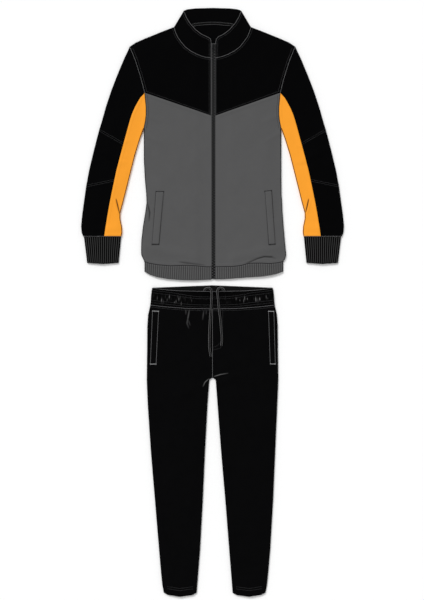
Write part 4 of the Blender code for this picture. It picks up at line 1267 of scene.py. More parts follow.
def stitch_tree():
    """Thread loops set end to end along each seam line, flat on the cloth."""
    tree, given, made = tree_with("Row of stitches", (
        ("Pitch", "NodeSocketFloat"),
        ("Stitch length", "NodeSocketFloat"),
        ("Thread width", "NodeSocketFloat"),
        ("Thread height", "NodeSocketFloat"),
        ("Thread", "NodeSocketMaterial"),
    ))
    new = tree.nodes.new
    curve = new("GeometryNodeMeshToCurve")
    spaced = new("GeometryNodeResampleCurve")
    spaced.mode = "LENGTH"
    bead = set_inputs(new("GeometryNodeMeshUVSphere"), Segments=6, Rings=4, Radius=0.5)
    blunt = set_inputs(new("GeometryNodeTransform"), Rotation=(0, 0, math.radians(30)))
    tangent = new("GeometryNodeInputTangent")
    along = new("FunctionNodeAlignRotationToVector")
    along.axis = "X"
    up = new("GeometryNodeInputNamedAttribute")
    up.data_type = "FLOAT_VECTOR"
    set_inputs(up, Name="up")
    upright = new("FunctionNodeAlignRotationToVector")
    upright.axis = "Z"
    upright.pivot_axis = "X"
    size = new("ShaderNodeCombineXYZ")
    placed = new("GeometryNodeInstanceOnPoints")
    wire(tree, (
        (given, "Geometry", curve, "Mesh"),
        (curve, "Curve", spaced, "Curve"),
        (given, "Pitch", spaced, "Length"),
        (tangent, "Tangent", along, "Vector"),
        (along, "Rotation", upright, "Rotation"),
        (up, "Attribute", upright, "Vector"),
        (given, "Stitch length", size, "X"),
        (given, "Thread width", size, "Y"),
        (given, "Thread height", size, "Z"),
        (bead, "Mesh", blunt, "Geometry"),
        (spaced, "Curve", placed, "Points"),
        (blunt, "Geometry", placed, "Instance"),
        (upright, "Rotation", placed, "Rotation"),
        (size, "Vector", placed, "Scale"),
    ))
    return made_real(tree, placed, given, "Thread", made)


def tooth_tree():
    """One tooth set again and again down the zip."""
    tree, given, made = tree_with("Row of teeth", (
        ("Tooth", "NodeSocketObject"),
        ("Count", "NodeSocketInt"),
        ("Start", "NodeSocketVector"),
        ("Step", "NodeSocketVector"),
        ("Finish", "NodeSocketMaterial"),
    ))
    row = tree.nodes.new("GeometryNodeMeshLine")
    row.mode = "OFFSET"
    tooth = tree.nodes.new("GeometryNodeObjectInfo")
    placed = tree.nodes.new("GeometryNodeInstanceOnPoints")
    wire(tree, (
        (given, "Count", row, "Count"),
        (given, "Start", row, "Start Location"),
        (given, "Step", row, "Offset"),
        (given, "Tooth", tooth, "Object"),
        (row, "Mesh", placed, "Points"),
        (tooth, "Geometry", placed, "Instance"),
    ))
    return made_real(tree, placed, given, "Finish", made)


def grown(name, seed_mesh, tree, values):
    """The plain mesh that a geometry tree makes of a mesh, with its inputs set by name."""
    holder = put(name + "_rows", seed_mesh)
    modifier = holder.modifiers.new("Rows", "NODES")
    modifier.node_group = tree
    for socket in tree.interface.items_tree:
        if socket.in_out == "INPUT" and socket.name in values:
            modifier[socket.identifier] = values[socket.name]
    holder.update_tag()
    bpy.context.view_layer.update()
    mesh = evaluated(holder)
    bpy.data.objects.remove(holder)
    mesh.name = name
    mesh.shade_smooth()
    return put(name, mesh)


STITCHES = stitch_tree()
TEETH = tooth_tree()


def resampled(line, step=2.5):
    line = np.array(line, float)
    count = max(2, math.ceil(length_of(line) / step) + 1)
    return along_line(line, np.linspace(0, 1, count))


def offset(line, distance):
    """A plan line moved to its left by a distance."""
    line = np.array(line, float)
    run = np.gradient(line, axis=0)
    run /= np.linalg.norm(run, axis=1, keepdims=True)
    return line + distance * np.stack([-run[:, 1], run[:, 0]], axis=1)


def on_front(line, lift=STITCH_LIFT):
    """A plan line laid on the front: its points and the cloth's normals there."""
    points, normals = surface(resampled(line)[None], FRONT)
    return points[0] + normals[0] * lift, normals[0]


def level_row(line, z):
    """A plan line at one height: its points and their upright normals."""
    return at_height(line, z), np.tile((0.0, 0.0, 1.0), (len(line), 1))


def stitched(name, rows, thread, slot, pitch=STITCH_PITCH, length=STITCH_LENGTH, width=THREAD):
    """One piece of thread for several rows, each given as points and normals."""
    edges, first = [], 0
    for row, _ in rows:
        edges += [(first + k, first + k + 1) for k in range(len(row) - 1)]
        first += len(row)
    points, ups = (np.concatenate([row[k] for row in rows]) for k in (0, 1))
    mesh = bpy.data.meshes.new(name + "_line")
    mesh.from_pydata((points * MM).tolist(), edges, [])
    mesh.attributes.new("up", "FLOAT_VECTOR", "POINT").data.foreach_set("vector", ups.ravel())
    made = grown(name, mesh, STITCHES, {
        "Pitch": pitch * MM,
        "Stitch length": length * MM,
        "Thread width": width * MM,
        "Thread height": min(width, THREAD) * MM,
        "Thread": FINISH[thread],
    })
    places = np.empty(len(made.data.vertices) * 3)
    made.data.vertices.foreach_get("co", places)
    map_cloth(made.data, places.reshape(-1, 3)[:, :2])
    dress(made, slot)


# Jacket

def front_yoke(side, word):
    shoulder = cut(sleeve_line(side), NECK_Y, SHOULDER_Y)[::-1]
    arm = armhole(side, end=YOKE_END[1])
    seam = yoke_seam(side)
    zip_side = np.array([(zip_edge(side), NECK_SEAM_Y), seam[1]])
    inner = np.concatenate([neck_seam(side)[:-1], zip_side])
    across = stations([shoulder, seam], FRONT_STEP, "seam", "seam")
    down = stations([arm, inner], FRONT_STEP, "fold", "seam")
    grid = patch(arm, inner, shoulder, seam, across, down)
    grid = part_seams(grid, ("left", "right", "bottom"))
    cloth(f"yoke_front_{word}", f"jacket_front_yoke_{word}", "jacket_black",
          surface(grid, FRONT), "black", on="jacket_back_yoke")


def flank(side):
    arm = armhole(side, YOKE_END[1])
    return np.concatenate([arm, body_line(side)[1:-1]])


def part_above_underarm(grid, *edges):
    """Parts side edges from the seam above the underarm only; below it they meet on the fold."""
    rows = grid[:, 0, 1] > UNDERARM_Y + UNDERARM_REACH
    for edge in edges:
        column = 0 if edge == "left" else -1
        parted = part_seams(grid, (edge,))
        grid[rows, column] = parted[rows, column]
    return grid


def front_body(side, word):
    seam = yoke_seam(side)
    edge = flank(side)
    hem = cut(np.array(HEM_SEAM), edge[-1, 0], zip_edge(side), axis=0)
    zip_side = np.array([seam[1], hem[-1]])
    across = stations([seam, hem], FRONT_STEP, "fold", "hem", fine=[(0, 0.085)])
    fine = bands_on(edge, FINE_ROWS["body"], 1)
    down = stations([edge, zip_side], FRONT_STEP, "seam", "seam", fine=fine)
    grid = patch(edge, zip_side, seam, hem, across, down)
    grid = part_above_underarm(part_seams(grid, ("top", "bottom", "right")), "left")
    cloth(f"body_front_{word}", f"jacket_front_body_{word}", "jacket_grey",
          surface(grid, FRONT), "grey", on="jacket_back_body")


def back_yoke():
    shoulder = cut(sleeve_line(RIGHT), NECK_Y - 2 * SEAM_GAP, SHOULDER_Y)
    neck = np.array(BACK_NECK_SEAM, float)[1:]
    neck[0, 1] -= 2 * SEAM_GAP
    top = whole_line(np.concatenate([shoulder[::-1], neck]))
    arms = [armhole(side, end=YOKE_END[1]) for side in (LEFT, RIGHT)]
    bottom = back_yoke_seam()
    across = stations([top, bottom], BACK_STEP, "seam", "seam")
    down = stations([arms[0]], BACK_STEP, "fold", "seam")
    grid = patch(arms[0], arms[1], top, bottom, across, down)
    grid = part_seams(grid, ("left", "right", "bottom"))
    by_neck = np.abs(grid[0, :, 0]) < BACK_NECK_SEAM[0][0]
    parted = part_seams(grid, ("top",))
    grid[0, by_neck] = parted[0, by_neck]
    cloth("yoke_back", "jacket_back_yoke", "jacket_black", surface(grid, BACK), "black")


def back_body():
    top = back_yoke_seam()
    flanks = [flank(side) for side in (LEFT, RIGHT)]
    hem = np.array(BACK_HEM_SEAM, float)
    levels = YOKE_END[1], hem[0, 1]
    across = stations([top, hem], BACK_STEP, "fold", "fold")
    down = stations(flanks, BACK_STEP, "seam", "seam", levels=levels)
    grid = patch(flanks[0], flanks[1], top, hem, across, down, levels)
    grid = part_above_underarm(part_seams(grid, ("top", "bottom")), "left", "right")
    cloth("body_back", "jacket_back_body", "jacket_grey", surface(grid, BACK), "grey")


def sleeve_piece(word, place, outer, stripe, top, bottom, edges):
    """One black length of a sleeve, from the coloured panel over the fold to the back."""
    first = "fold" if place == "upper" else "seam"
    down = stations([outer, stripe], FRONT_STEP, first, "seam")
    grids = {}
    for face, step in ((FRONT, FRONT_STEP), (BACK, BACK_STEP)):
        across = stations([top, bottom], step, "fold", "seam")
        grids[face] = part_seams(patch(outer, stripe, top, bottom, across, down), edges)
    skins = joined((grids[FRONT][:, ::-1], FRONT), (grids[BACK], BACK))
    cloth(f"{place}_sleeve_{word}", f"sleeve_{place}_{word}", "jacket_black", skins, "black")


def black_sleeve(side, word):
    """The three black lengths of a sleeve, parted by the two elbow seams."""
    edge, stripe = sleeve_line(side), stripe_line(side)
    arm = armhole(side, end=YOKE_END[1])
    head = cut(edge, SLEEVE_HEAD_Y, SHOULDER_Y)
    inner = np.concatenate([arm, cut(stripe, PANEL_TIP_Y, UPPER_ELBOW[1])[1:]])
    lengths = (
        ("upper", (SLEEVE_HEAD_Y, PANEL_TIP_Y), UPPER_ELBOW),
        ("elbow", UPPER_ELBOW, LOWER_ELBOW),
        ("forearm", LOWER_ELBOW, (CUFF_SEAM_Y, CUFF_SEAM_Y)),
    )
    for place, start, end in lengths:
        outer = cut(edge, start[0], end[0])
        bottom = np.array([outer[-1], cut(stripe, start[1], end[1])[-1]])
        if place == "upper":
            sides, top, edges = (outer, inner), head, ("right", "bottom")
        else:
            sides = outer, cut(stripe, start[1], end[1])
            top, edges = np.array([sides[0][0], sides[1][0]]), ("right", "top", "bottom")
        sleeve_piece(word, place, *sides, top, bottom, edges)


def coloured_panel(side, word):
    """The under-sleeve panel, round the inner fold from the front to the back."""
    stripe = stripe_line(side)
    arm = armhole(side, YOKE_END[1])
    inner = np.concatenate([arm, columns(SLEEVE, 3, side)[1:]])
    top = np.array([inner[0], stripe[0]])
    bottom = np.array([inner[-1], stripe[-1]])
    levels = YOKE_END[1], SLEEVE[-1][0]
    fine = bands_on(inner, FINE_ROWS["sleeve"], 1, levels)
    down = stations([inner, stripe], FRONT_STEP, "seam", "seam", levels, fine)
    grids = {}
    for face, step in ((FRONT, FINE_STEP), (BACK, BACK_STEP)):
        across = stations([bottom], step, "fold", "seam")
        grid = patch(inner, stripe, top, bottom, across, down, levels)
        grids[face] = part_above_underarm(part_seams(grid, ("right", "top", "bottom")), "left")
    skins = joined((grids[FRONT][:, ::-1], FRONT), (grids[BACK], BACK))
    cloth(f"under_sleeve_{word}", f"sleeve_under_{word}", "jacket_orange", skins, "orange")


# Ribs

def rib_columns(width, start, ribs):
    """Where a ribbed strip has its columns, and how high each stands between groove and crest."""
    near = np.array((0.0, *BESIDE["fold"][:5])) / width
    body = np.linspace(start / width, 1 - start / width, COLUMNS_A_RIB * ribs + 1)
    at = np.concatenate([near[near < body[0] - 1e-6], body])
    crest = np.concatenate([
        np.zeros(len(at) - len(body)),
        np.abs(np.sin(math.pi * np.linspace(0, ribs, len(body)))) ** 0.7,
    ])
    return at, crest


def both_folds(at, crest):
    """The same columns with the near-fold ones at the far end too."""
    far = 1 - at[at < 1 - at[-1] - 1e-6][::-1]
    return np.concatenate([at, far]), np.concatenate([crest, np.zeros(len(far))])


def cuff(side, word):
    outer, inner = columns(CUFF, 1, side), columns(CUFF, 2, side)
    top = np.array([outer[0], inner[0]])
    middle = (outer[-1] + inner[-1]) / 2 - (0, 3.2)
    bottom = np.array([outer[-1], middle, inner[-1]])
    down = stations([outer], 6.0, "seam", "hem")
    across, crest = both_folds(*rib_columns(length_of(top), RIB_START, CUFF_RIBS))
    grid = part_seams(patch(outer, inner, top, bottom, across, down), ("top",))
    whole = joined((grid, FRONT), (grid[:, ::-1], BACK))
    ends = smooth(down * length_of(outer) / 2) * smooth((1 - down) * length_of(outer) / 1.5)
    raised = np.concatenate([RIB_HEIGHT * crest, BACK_RIB_DEPTH * (crest[::-1] - 1)])
    relief = ends[:, None] * raised[None, :]
    # Painted light on the ribs: shade in the grooves, beside the folds and towards both ends, a
    # highlight on the crests
    crests = ends[:, None] * np.concatenate([crest, crest[::-1]])[None, :]
    cloth(f"rib_cuff_{word}", f"cuff_{word}", "cuff_rib", whole, "cuff", relief=relief,
          closed=True, crest=crests)


def hem_band():
    """One rib strip from the zip round the back to the zip."""
    seam, edge = np.array(HEM_SEAM), np.array(HEM_EDGE)
    folds = [body_line(side)[-2:] for side in (LEFT, RIGHT)]
    down = stations([folds[0]], 5.0, "seam", "hem")
    fronts, crests = {}, {}
    for side, fold in zip((LEFT, RIGHT), folds):
        top = cut(seam, fold[0, 0], zip_edge(side), axis=0)
        bottom = cut(edge, fold[0, 0], zip_edge(side), axis=0)
        across, crests[side] = rib_columns(length_of(top), RIB_START, HEM_RIBS)
        full = (across - across[0]) / (across[-1] - across[0])
        grid = patch(fold, np.array([top[-1], bottom[-1]]), top, bottom, full, down)
        fronts[side] = part_seams(grid, ("top",))
    seam, edge = np.array(BACK_HEM_SEAM), np.array(BACK_HEM_EDGE)
    across, crest = both_folds(*rib_columns(length_of(seam), RIB_START, 2 * HEM_RIBS))
    back = part_seams(patch(folds[0], folds[1], seam, edge, across, down), ("top",))
    whole = joined((fronts[LEFT][:, ::-1], FRONT), (back, BACK), (fronts[RIGHT], FRONT))
    height = length_of(folds[0])
    ends = smooth(down * height / 2) * smooth((1 - down) * height / 3.2)
    raised = np.concatenate([
        RIB_HEIGHT * crests[LEFT][::-1],
        BACK_RIB_DEPTH * (crest - 1),
        RIB_HEIGHT * crests[RIGHT],
    ])
    # Painted light on the ribs: shade in the grooves and beside the folds, a highlight on the
    # crests
    shown = np.concatenate([crests[LEFT][::-1], crest, crests[RIGHT]])
    cloth("rib_hem_band", "hem_band", "hem_rib", whole, "hem",
          relief=ends[:, None] * raised[None, :], crest=np.tile(shown, (len(down), 1)))


def collar():
    """Outer and inner layer of the collar, each one strip round the neck."""
    down = stations([np.array([(0.0, 0.0), (0.0, 48.0)])], 3.6, "hem", "seam")
    flaps = {}
    for side in (LEFT, RIGHT):
        fold = cut(sleeve_line(side), COLLAR_TOP_Y, NECK_Y)
        top, bottom = collar_edge(side), neck_seam(side)
        across = stations([top, bottom], FRONT_STEP, "fold", "hem")
        grid = patch(fold, np.array([top[-1], bottom[-1]]), top, bottom, across, down)
        flaps[side] = part_seams(grid, ("bottom",))
    folds = [cut(sleeve_line(side), COLLAR_TOP_Y, NECK_Y) for side in (LEFT, RIGHT)]
    top, bottom = whole_line(BACK_COLLAR_EDGE), whole_line(BACK_NECK_SEAM)
    across = stations([top, bottom], 6.0, "fold", "fold")
    back = part_seams(patch(folds[0], folds[1], top, bottom, across, down), ("bottom",))
    whole = joined((flaps[LEFT][:, ::-1], FRONT), (back, BACK), (flaps[RIGHT], FRONT))
    cloth("collar_outside", "collar_outer", "jacket_black", whole, "black", wall=COLLAR_WALL)
    cloth("collar_lining", "collar_inner", "jacket_black", whole, "black", wall=COLLAR_WALL,
          depth=COLLAR_WALL + SEAM_GAP)


def slab(name, grid, bottom, top, finish):
    """A flat strip over a plan grid, between two heights."""
    return wall_between(name, at_height(grid, top), at_height(grid, bottom), finish)


def back_neck_line(drop):
    seam = cut(whole_line(BACK_NECK_SEAM), -NECK_TAPE_REACH, NECK_TAPE_REACH, axis=0)
    return resampled(seam - (0, drop))


def neck_tape():
    """A woven tape with rolled edges over the inside of the back neck seam."""
    drops = (NECK_TAPE_DROP, 1.0, 2.2, 5.0, 7.6, 8.8, NECK_TAPE_DROP + NECK_TAPE_WIDTH)
    rise = np.array((0.0, 0.45, 0.6, 0.6, 0.6, 0.45, 0.0))
    grid = np.array([back_neck_line(drop) for drop in drops])
    base = WALL + SEAM_GAP
    top = at_height(grid, base + 0.4)
    top[..., 2] += rise[:, None]
    piece = wall_between("neck_tape_woven", top, at_height(grid, base), "neck_tape")
    dress(piece, "neck_tape", "neck_tape")


# Pockets

def welt_frame(corners):
    """The four plan corners of a welt: upper left, upper right, lower right, lower left."""
    rim = np.array([(x, y) for y, x in corners], float)
    return rim if rim[0, 0] < rim[1, 0] else rim[[1, 0, 3, 2]]


def inset(rim, distance):
    """The plan corners drawn in by a distance on every side."""
    middle = rim.mean(axis=0)
    half = np.array((abs(rim[1, 0] - rim[0, 0]) / 2, abs(rim[0, 1] - rim[3, 1]) / 2))
    share = 1 - distance / half
    return middle + (rim - middle) * share


def welt(name, corners, node, finish, slot):
    """A folded strip sewn down on its front panel, its rim rolled under."""
    rim = welt_frame(corners)
    width, height = np.linalg.norm(rim[1] - rim[0]), np.linalg.norm(rim[3] - rim[0])
    across = stations([np.array([(0, 0), (width, 0)])], 2.6, "hem", "hem")
    down = stations([np.array([(0, 0), (0, height)])], 4.0, "hem", "hem")
    grid = patch(rim[[0, 3]], rim[[1, 2]], rim[[0, 1]], rim[[3, 2]], across, down)
    points, normals = surface(grid, FRONT)
    u, v = across * width, down * height
    edge = np.minimum(np.minimum(u, width - u)[None, :], np.minimum(v, height - v)[:, None])
    rolled = np.sqrt(np.clip(1 - (1 - np.clip(edge / 1.6, 0, 1)) ** 2, 0, 1))
    sewn = WELT_GROOVE * np.exp(-(((edge - WELT_STITCH) / 0.8) ** 2))
    puff = 0.35 * smooth((edge - WELT_STITCH) / 3)
    lift = WELT_LIFT + WELT_RIM + (WALL - WELT_RIM) * rolled - sewn + puff
    outer = points + normals * lift[..., None]
    inner = points + normals * WELT_BASE
    piece = wall_between("welt_" + name, outer, inner, finish)
    laid_out(points)
    dress(piece, slot, node)


def welt_rows(corners):
    """The row of stitches round a welt."""
    rim = inset(welt_frame(corners), WELT_STITCH)
    rows = []
    for start, end in zip(rim, np.roll(rim, -1, axis=0)):
        rows.append(on_front([start, end], WELT_LIFT + WALL - WELT_GROOVE))
    return rows


def bar_tacks(corners):
    """Dense zigzags across both ends of a welt."""
    rim = welt_frame(corners)
    rows = []
    for start, end, into in ((rim[0], rim[1], rim[3]), (rim[3], rim[2], rim[0])):
        down = (into - start) / np.linalg.norm(into - start)
        count = int(np.linalg.norm(end - start) / TACK_STEP)
        zigzag = [
            start + (end - start) * k / count + down * (TACK_IN + TACK_REACH * (k % 2))
            for k in range(1, count)
        ]
        points, normals = surface(np.array(zigzag)[None], FRONT)
        rows.append((points[0] + normals[0] * (WELT_LIFT + WALL - STITCH_LIFT), normals[0]))
    return rows


# Zip

def zip_tape(side, word):
    """Narrow beside the collar's edge, and full width under the fronts below the neck seam."""
    near = ZIP_X + side * TAPE_PARTING / 2
    narrow = zip_edge(side) - side * SEAM_GAP
    far = ZIP_X + side * (TEETH_WIDTH + 2 * SEAM_GAP + TAPE_WIDTH)
    rows = (
        (ZIP_TOP, near, narrow),
        (NECK_SEAM_Y - 2, near, narrow),
        (NECK_SEAM_Y - 8, near, far),
        (500, near, far),
        (300, near, far),
        (ZIP_BOTTOM + 1, near, far),
    )
    lengths = [row[0] for row in rows]
    ys = np.linspace(lengths[0], lengths[-1], TAPE_ROWS)
    grid = np.stack([
        np.stack([np.full(TAPE_ROWS, near), ys], axis=1),
        np.stack([np.interp(-ys, [-y for y in lengths], [row[2] for row in rows]), ys], axis=1),
    ], axis=1)
    piece = slab("zip_tape_woven_" + word, grid, *TAPE_Z, "zip_tape")
    laid_out(np.pad(grid, ((0, 0), (0, 0), (0, 1))))
    dress(piece, "zip_tape", f"zip_tape_{word}")


def tooth(side):
    """One moulded tooth: a foot on the tape and a rounded head at the middle of the zip."""
    half, tall = TOOTH_PITCH * TOOTH_HALF, (TEETH_Z[1] - TEETH_Z[0]) / 2
    outline = (
        (0.0, -0.6), (0.1, -0.88), (0.5, -1.0), (0.7, -0.86), (1.0, -0.8),
        (1.0, 0.8), (0.7, 0.86), (0.5, 1.0), (0.1, 0.88), (0.0, 0.6),
    )
    rings = []
    for z, share in ((-tall, 0.86), (-tall * 0.6, 1.0), (tall * 0.5, 1.0), (tall, 0.72)):
        ring = [
            (side * (0.5 + (x - 0.5) * share) * TEETH_WIDTH, y * half * share, z)
            for x, y in outline
        ]
        rings.append(ring)
    count = len(outline)
    faces = [tuple(range(count)), tuple(range(4 * count - 1, 3 * count - 1, -1))]
    for level in range(3):
        for k in range(count):
            after = (k + 1) % count
            base = level * count
            faces.append((base + k, base + k + count, base + after + count, base + after))
    return add_mesh("tooth", np.concatenate(rings), faces, "teeth")


def zip_teeth(side, word):
    """A row of teeth on one tape; the two rows are half a pitch apart."""
    model = tooth(side)
    top = SLIDER_Y - SLIDER_LENGTH / 2 - SEAM_GAP - TOOTH_PITCH * FIRST_TOOTH[side]
    count = int((top - ZIP_BOTTOM - TOOTH_PITCH * 0.3) / TOOTH_PITCH) + 1
    seed = bpy.data.meshes.new("zip_line")
    seed.from_pydata([(0, 0, 0)], [], [])
    near = ZIP_X + side * SEAM_GAP / 2
    middle = sum(TEETH_Z) / 2
    made = grown("zip_teeth_moulded_" + word, seed, TEETH, {
        "Tooth": model,
        "Count": count,
        "Start": (near * MM, top * MM, middle * MM),
        "Step": (0.0, -TOOTH_PITCH * MM, 0.0),
        "Finish": FINISH["teeth"],
    })
    bpy.data.objects.remove(model)
    made.data.set_sharp_from_angle(angle=math.radians(40))
    dress(made, "zip_teeth", f"zip_teeth_{word}")


def rounded(name, node, slot, body, width, segments=3):
    """A CAD piece of the zip with its edges rounded."""
    piece = put(name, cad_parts[node].data.copy())
    piece.data.materials.clear()
    piece.data.materials.append(FINISH["metal"])
    weld = piece.modifiers.new("Weld", "WELD")
    weld.merge_threshold = 0.01 * MM
    bevel = piece.modifiers.new("Round edges", "BEVEL")
    bevel.width = width * MM
    bevel.segments = segments
    bevel.limit_method = "ANGLE"
    bevel.angle_limit = math.radians(35)
    done = evaluated(piece)
    piece.modifiers.clear()
    piece.data = done
    done.shade_smooth()
    done.set_sharp_from_angle(angle=math.radians(45))
    dress(piece, slot, node, body=body)


# Trousers

def trouser_panel(side, face, word, place):
    edge = trouser_side(side)
    waist = side_line(WAIST_SEAM, side)
    outer = cut(edge, WAIST_BOTTOM_Y, LEG_END_Y)
    leg = inseam(side)
    inner = np.concatenate([np.array([waist[-1], leg[0]]), leg[1:]])
    bottom = leg_edge(side)
    step, rows, places = BACK_STEP * 1.6, (), ()
    levels = outer[0, 1], outer[-1, 1]
    if face == FRONT:
        step = LEG_STEP
        rows = bands_on(outer, FINE_ROWS["trousers"], 1, levels)
        places = bands_on(waist, FINE_COLUMNS[side], 0)
    across = stations([waist, bottom], step, "fold", "fold", fine=places)
    down = stations([outer, inner], step, "seam", "hem", levels, rows)
    grid = patch(outer, inner, waist, bottom, across, down, levels)
    grid = part_seams(grid, ("top",))
    rows = grid[:, -1, 1] > leg[0, 1] - 0.01
    parted = part_seams(grid, ("right",))
    grid[rows, -1] = parted[rows, -1]
    under = f"trouser_back_{word}" if face == FRONT else ()
    cloth(f"trousers_{place}_{word}", f"trouser_{place}_{word}", "trouser_black",
          surface(grid, face), "trouser", on=under)


def gathers(x, down):
    """Uneven pleats that the elastic pulls up between its rows: their heights and the painted
    highlight on their ridges.
    """
    turn = x / 174 * GATHERS + 1.1 * np.sin(x / 37) + 0.7 * np.sin(x / 13)
    pleat = (np.floor(turn) - np.floor(turn.min())).astype(int)
    uneven = np.random.default_rng(11).uniform(0, 1, (3, pleat.max() + 1))[:, pleat]
    pulled = 0.3 + np.exp(-(((x - 100) / 55) ** 2)) + 0.8 * np.exp(-(((x + 110) / 55) ** 2))
    ridge = np.abs(np.sin(math.pi * turn))
    v = down[:, None]
    rows = [waist_rows(x, k)[None] for k in range(4)]
    between = np.full((len(down), len(x)), 0.25)
    for start, end, share in ((0 * rows[0], rows[0], 0.35), (rows[0], rows[1], 0.45),
                              (rows[1], rows[2], 1.0), (rows[3], 0 * rows[0] + 1, 0.5)):
        inside = np.clip((v - start) / (end - start), 0, 1)
        between += (share - 0.25) * np.sqrt(np.clip(np.sin(math.pi * inside), 0, 1))
    sewn = sum(np.exp(-(((v - row) * WAIST_HEIGHT / 1.3) ** 2)) for row in rows)
    heights = between * GATHER_HEIGHT * ((0.35 + 0.65 * uneven[0]) * ridge**0.8) - 0.35 * sewn
    middle, reach = 0.34 + 0.42 * uneven[1], 0.05 + 0.13 * uneven[2]
    short = np.exp(-(((v - middle) / reach) ** 2))
    # Painted highlight on the gather ridges, uneven from pleat to pleat
    painted_highlight = (0.25 * between + short) * (uneven[0] * ridge**2 * pulled)
    return heights, np.clip(0.25 + 0.9 * painted_highlight, 0, 1)


def cord_lift(plan):
    """Where the waistband bulges over a drawcord that comes out under its edge."""
    lift = np.zeros(len(plan))
    for route in (LEFT_CORD, RIGHT_CORD):
        start = np.array(route[0][:2]) - (0, 5.0)
        away = (plan - start) / (8.5, 12.0)
        lift += 4.3 * np.exp(-(away**2).sum(axis=1))
    return lift


def waistband():
    """One ring with gathers over its front half."""
    folds = [cut(trouser_side(side), WAIST_TOP_Y, WAIST_BOTTOM_Y) for side in (LEFT, RIGHT)]
    top, bottom = whole_line(WAIST_EDGE), whole_line(WAIST_SEAM)
    down = stations([folds[0]], 1.8, "hem", "hem")
    across = stations([top, bottom], 1.5, "fold", "fold")
    front = part_seams(patch(folds[0], folds[1], top, bottom, across, down), ("bottom",))
    coarse = stations([top], 12.0, "fold", "fold")
    back_top = whole_line(BACK_WAIST_EDGE)
    back = part_seams(patch(folds[0], folds[1], back_top, bottom, coarse, down), ("bottom",))
    whole = joined((front, FRONT), (back[:, ::-1], BACK))
    relief = np.zeros(whole[0].shape[:2])
    # Painted light on the gathers at the front; the back keeps an even middle value
    crests = np.full(whole[0].shape[:2], 0.5)
    relief[:, : len(across)], crests[:, : len(across)] = gathers(front[0, :, 0], down)
    points, normals = whole
    lift = cord_lift(front.reshape(-1, 2)).reshape(front.shape[:2])
    points[:, : len(across), 2] += lift
    cloth("waistband_gathered", "waistband", "waistband_black", (points, normals), "waistband",
          wall=WAISTBAND_WALL, relief=relief, closed=True, crest=crests)


def smooth_route(points, step):
    """A smooth curve through a route's points, with points about one step apart."""
    knots = np.array(points, float)
    padded = np.concatenate([[2 * knots[0] - knots[1]], knots, [2 * knots[-1] - knots[-2]]])
    fine = []
    for a, b, c, d in zip(padded, padded[1:], padded[2:], padded[3:]):
        for t in np.linspace(0, 1, 12, endpoint=False):
            fine.append(0.5 * (2 * b + (c - a) * t + (2 * a - 5 * b + 4 * c - d) * t**2
                               + (3 * b - a - 3 * c + d) * t**3))
    fine = np.array(fine + [knots[-1]])
    along = np.concatenate([[0], np.cumsum(np.linalg.norm(np.diff(fine, axis=0), axis=1))])
    at = np.linspace(0, along[-1], max(2, round(along[-1] / step) + 1))
    return np.stack([np.interp(at, along, fine[:, k]) for k in range(3)], axis=1), along[-1]


def drawcord(word, route):
    """A braided cord: strands that cross over each other round a soft core, ends closed."""
    tail = np.array(route[0]) + ((-2.0 if route[0][0] < 0 else 2.0), -5.5, -0.6)
    points, length = smooth_route([tail, *route], 0.8)
    run = np.gradient(points, axis=0)
    run /= np.linalg.norm(run, axis=1, keepdims=True)
    across = np.cross(run, (0, 0, 1))
    across /= np.linalg.norm(across, axis=1, keepdims=True)
    above = np.cross(across, run)
    along = np.linspace(0, length, len(points))
    turn = np.linspace(0, 2 * math.pi, CORD_SIDES, endpoint=False)
    twist = 2 * math.pi * along[:, None] / BRAID_PITCH
    strands = [np.cos(CORD_STRANDS / 2 * (turn[None] + s * twist)) for s in (1, -1)]
    ridge = np.maximum(strands[0], strands[1])
    radius = CORD_DIAMETER / 2 * (0.93 + 0.09 * ridge)
    closing = np.clip(np.minimum(along, length - along) / 2.2, 0, 1)
    radius *= np.sqrt(1 - (1 - closing[:, None]) ** 2 * 0.96)
    ring = (np.cos(turn)[None, :, None] * across[:, None] * radius[..., None]
            + np.sin(turn)[None, :, None] * above[:, None] * radius[..., None] * 0.9)
    skin = points[:, None] + ring
    index = np.arange(len(points) * CORD_SIDES).reshape(len(points), CORD_SIDES)
    turned = np.roll(index, -1, axis=1)
    faces = []
    for row in range(len(points) - 1):
        faces.extend(zip(index[row], turned[row], turned[row + 1], index[row + 1]))
    faces += [tuple(index[0][::-1]), tuple(index[-1])]
    around = np.linspace(0, math.pi * CORD_DIAMETER, CORD_SIDES)
    cloth_map = np.stack(np.meshgrid(around, along), axis=2).reshape(-1, 2) * MM
    # Painted rim highlight along both sides of the cord as seen from above
    rim_highlight = np.tile(np.abs(np.cos(turn)) ** RIM_HIGHLIGHT_SPREAD, len(points))
    piece = add_mesh("cord_" + word, skin.reshape(-1, 3), faces, "cord", cloth_map, crest=rim_highlight)
    dress(piece, "drawcord", f"drawcord_{word}")


# Rows of stitches

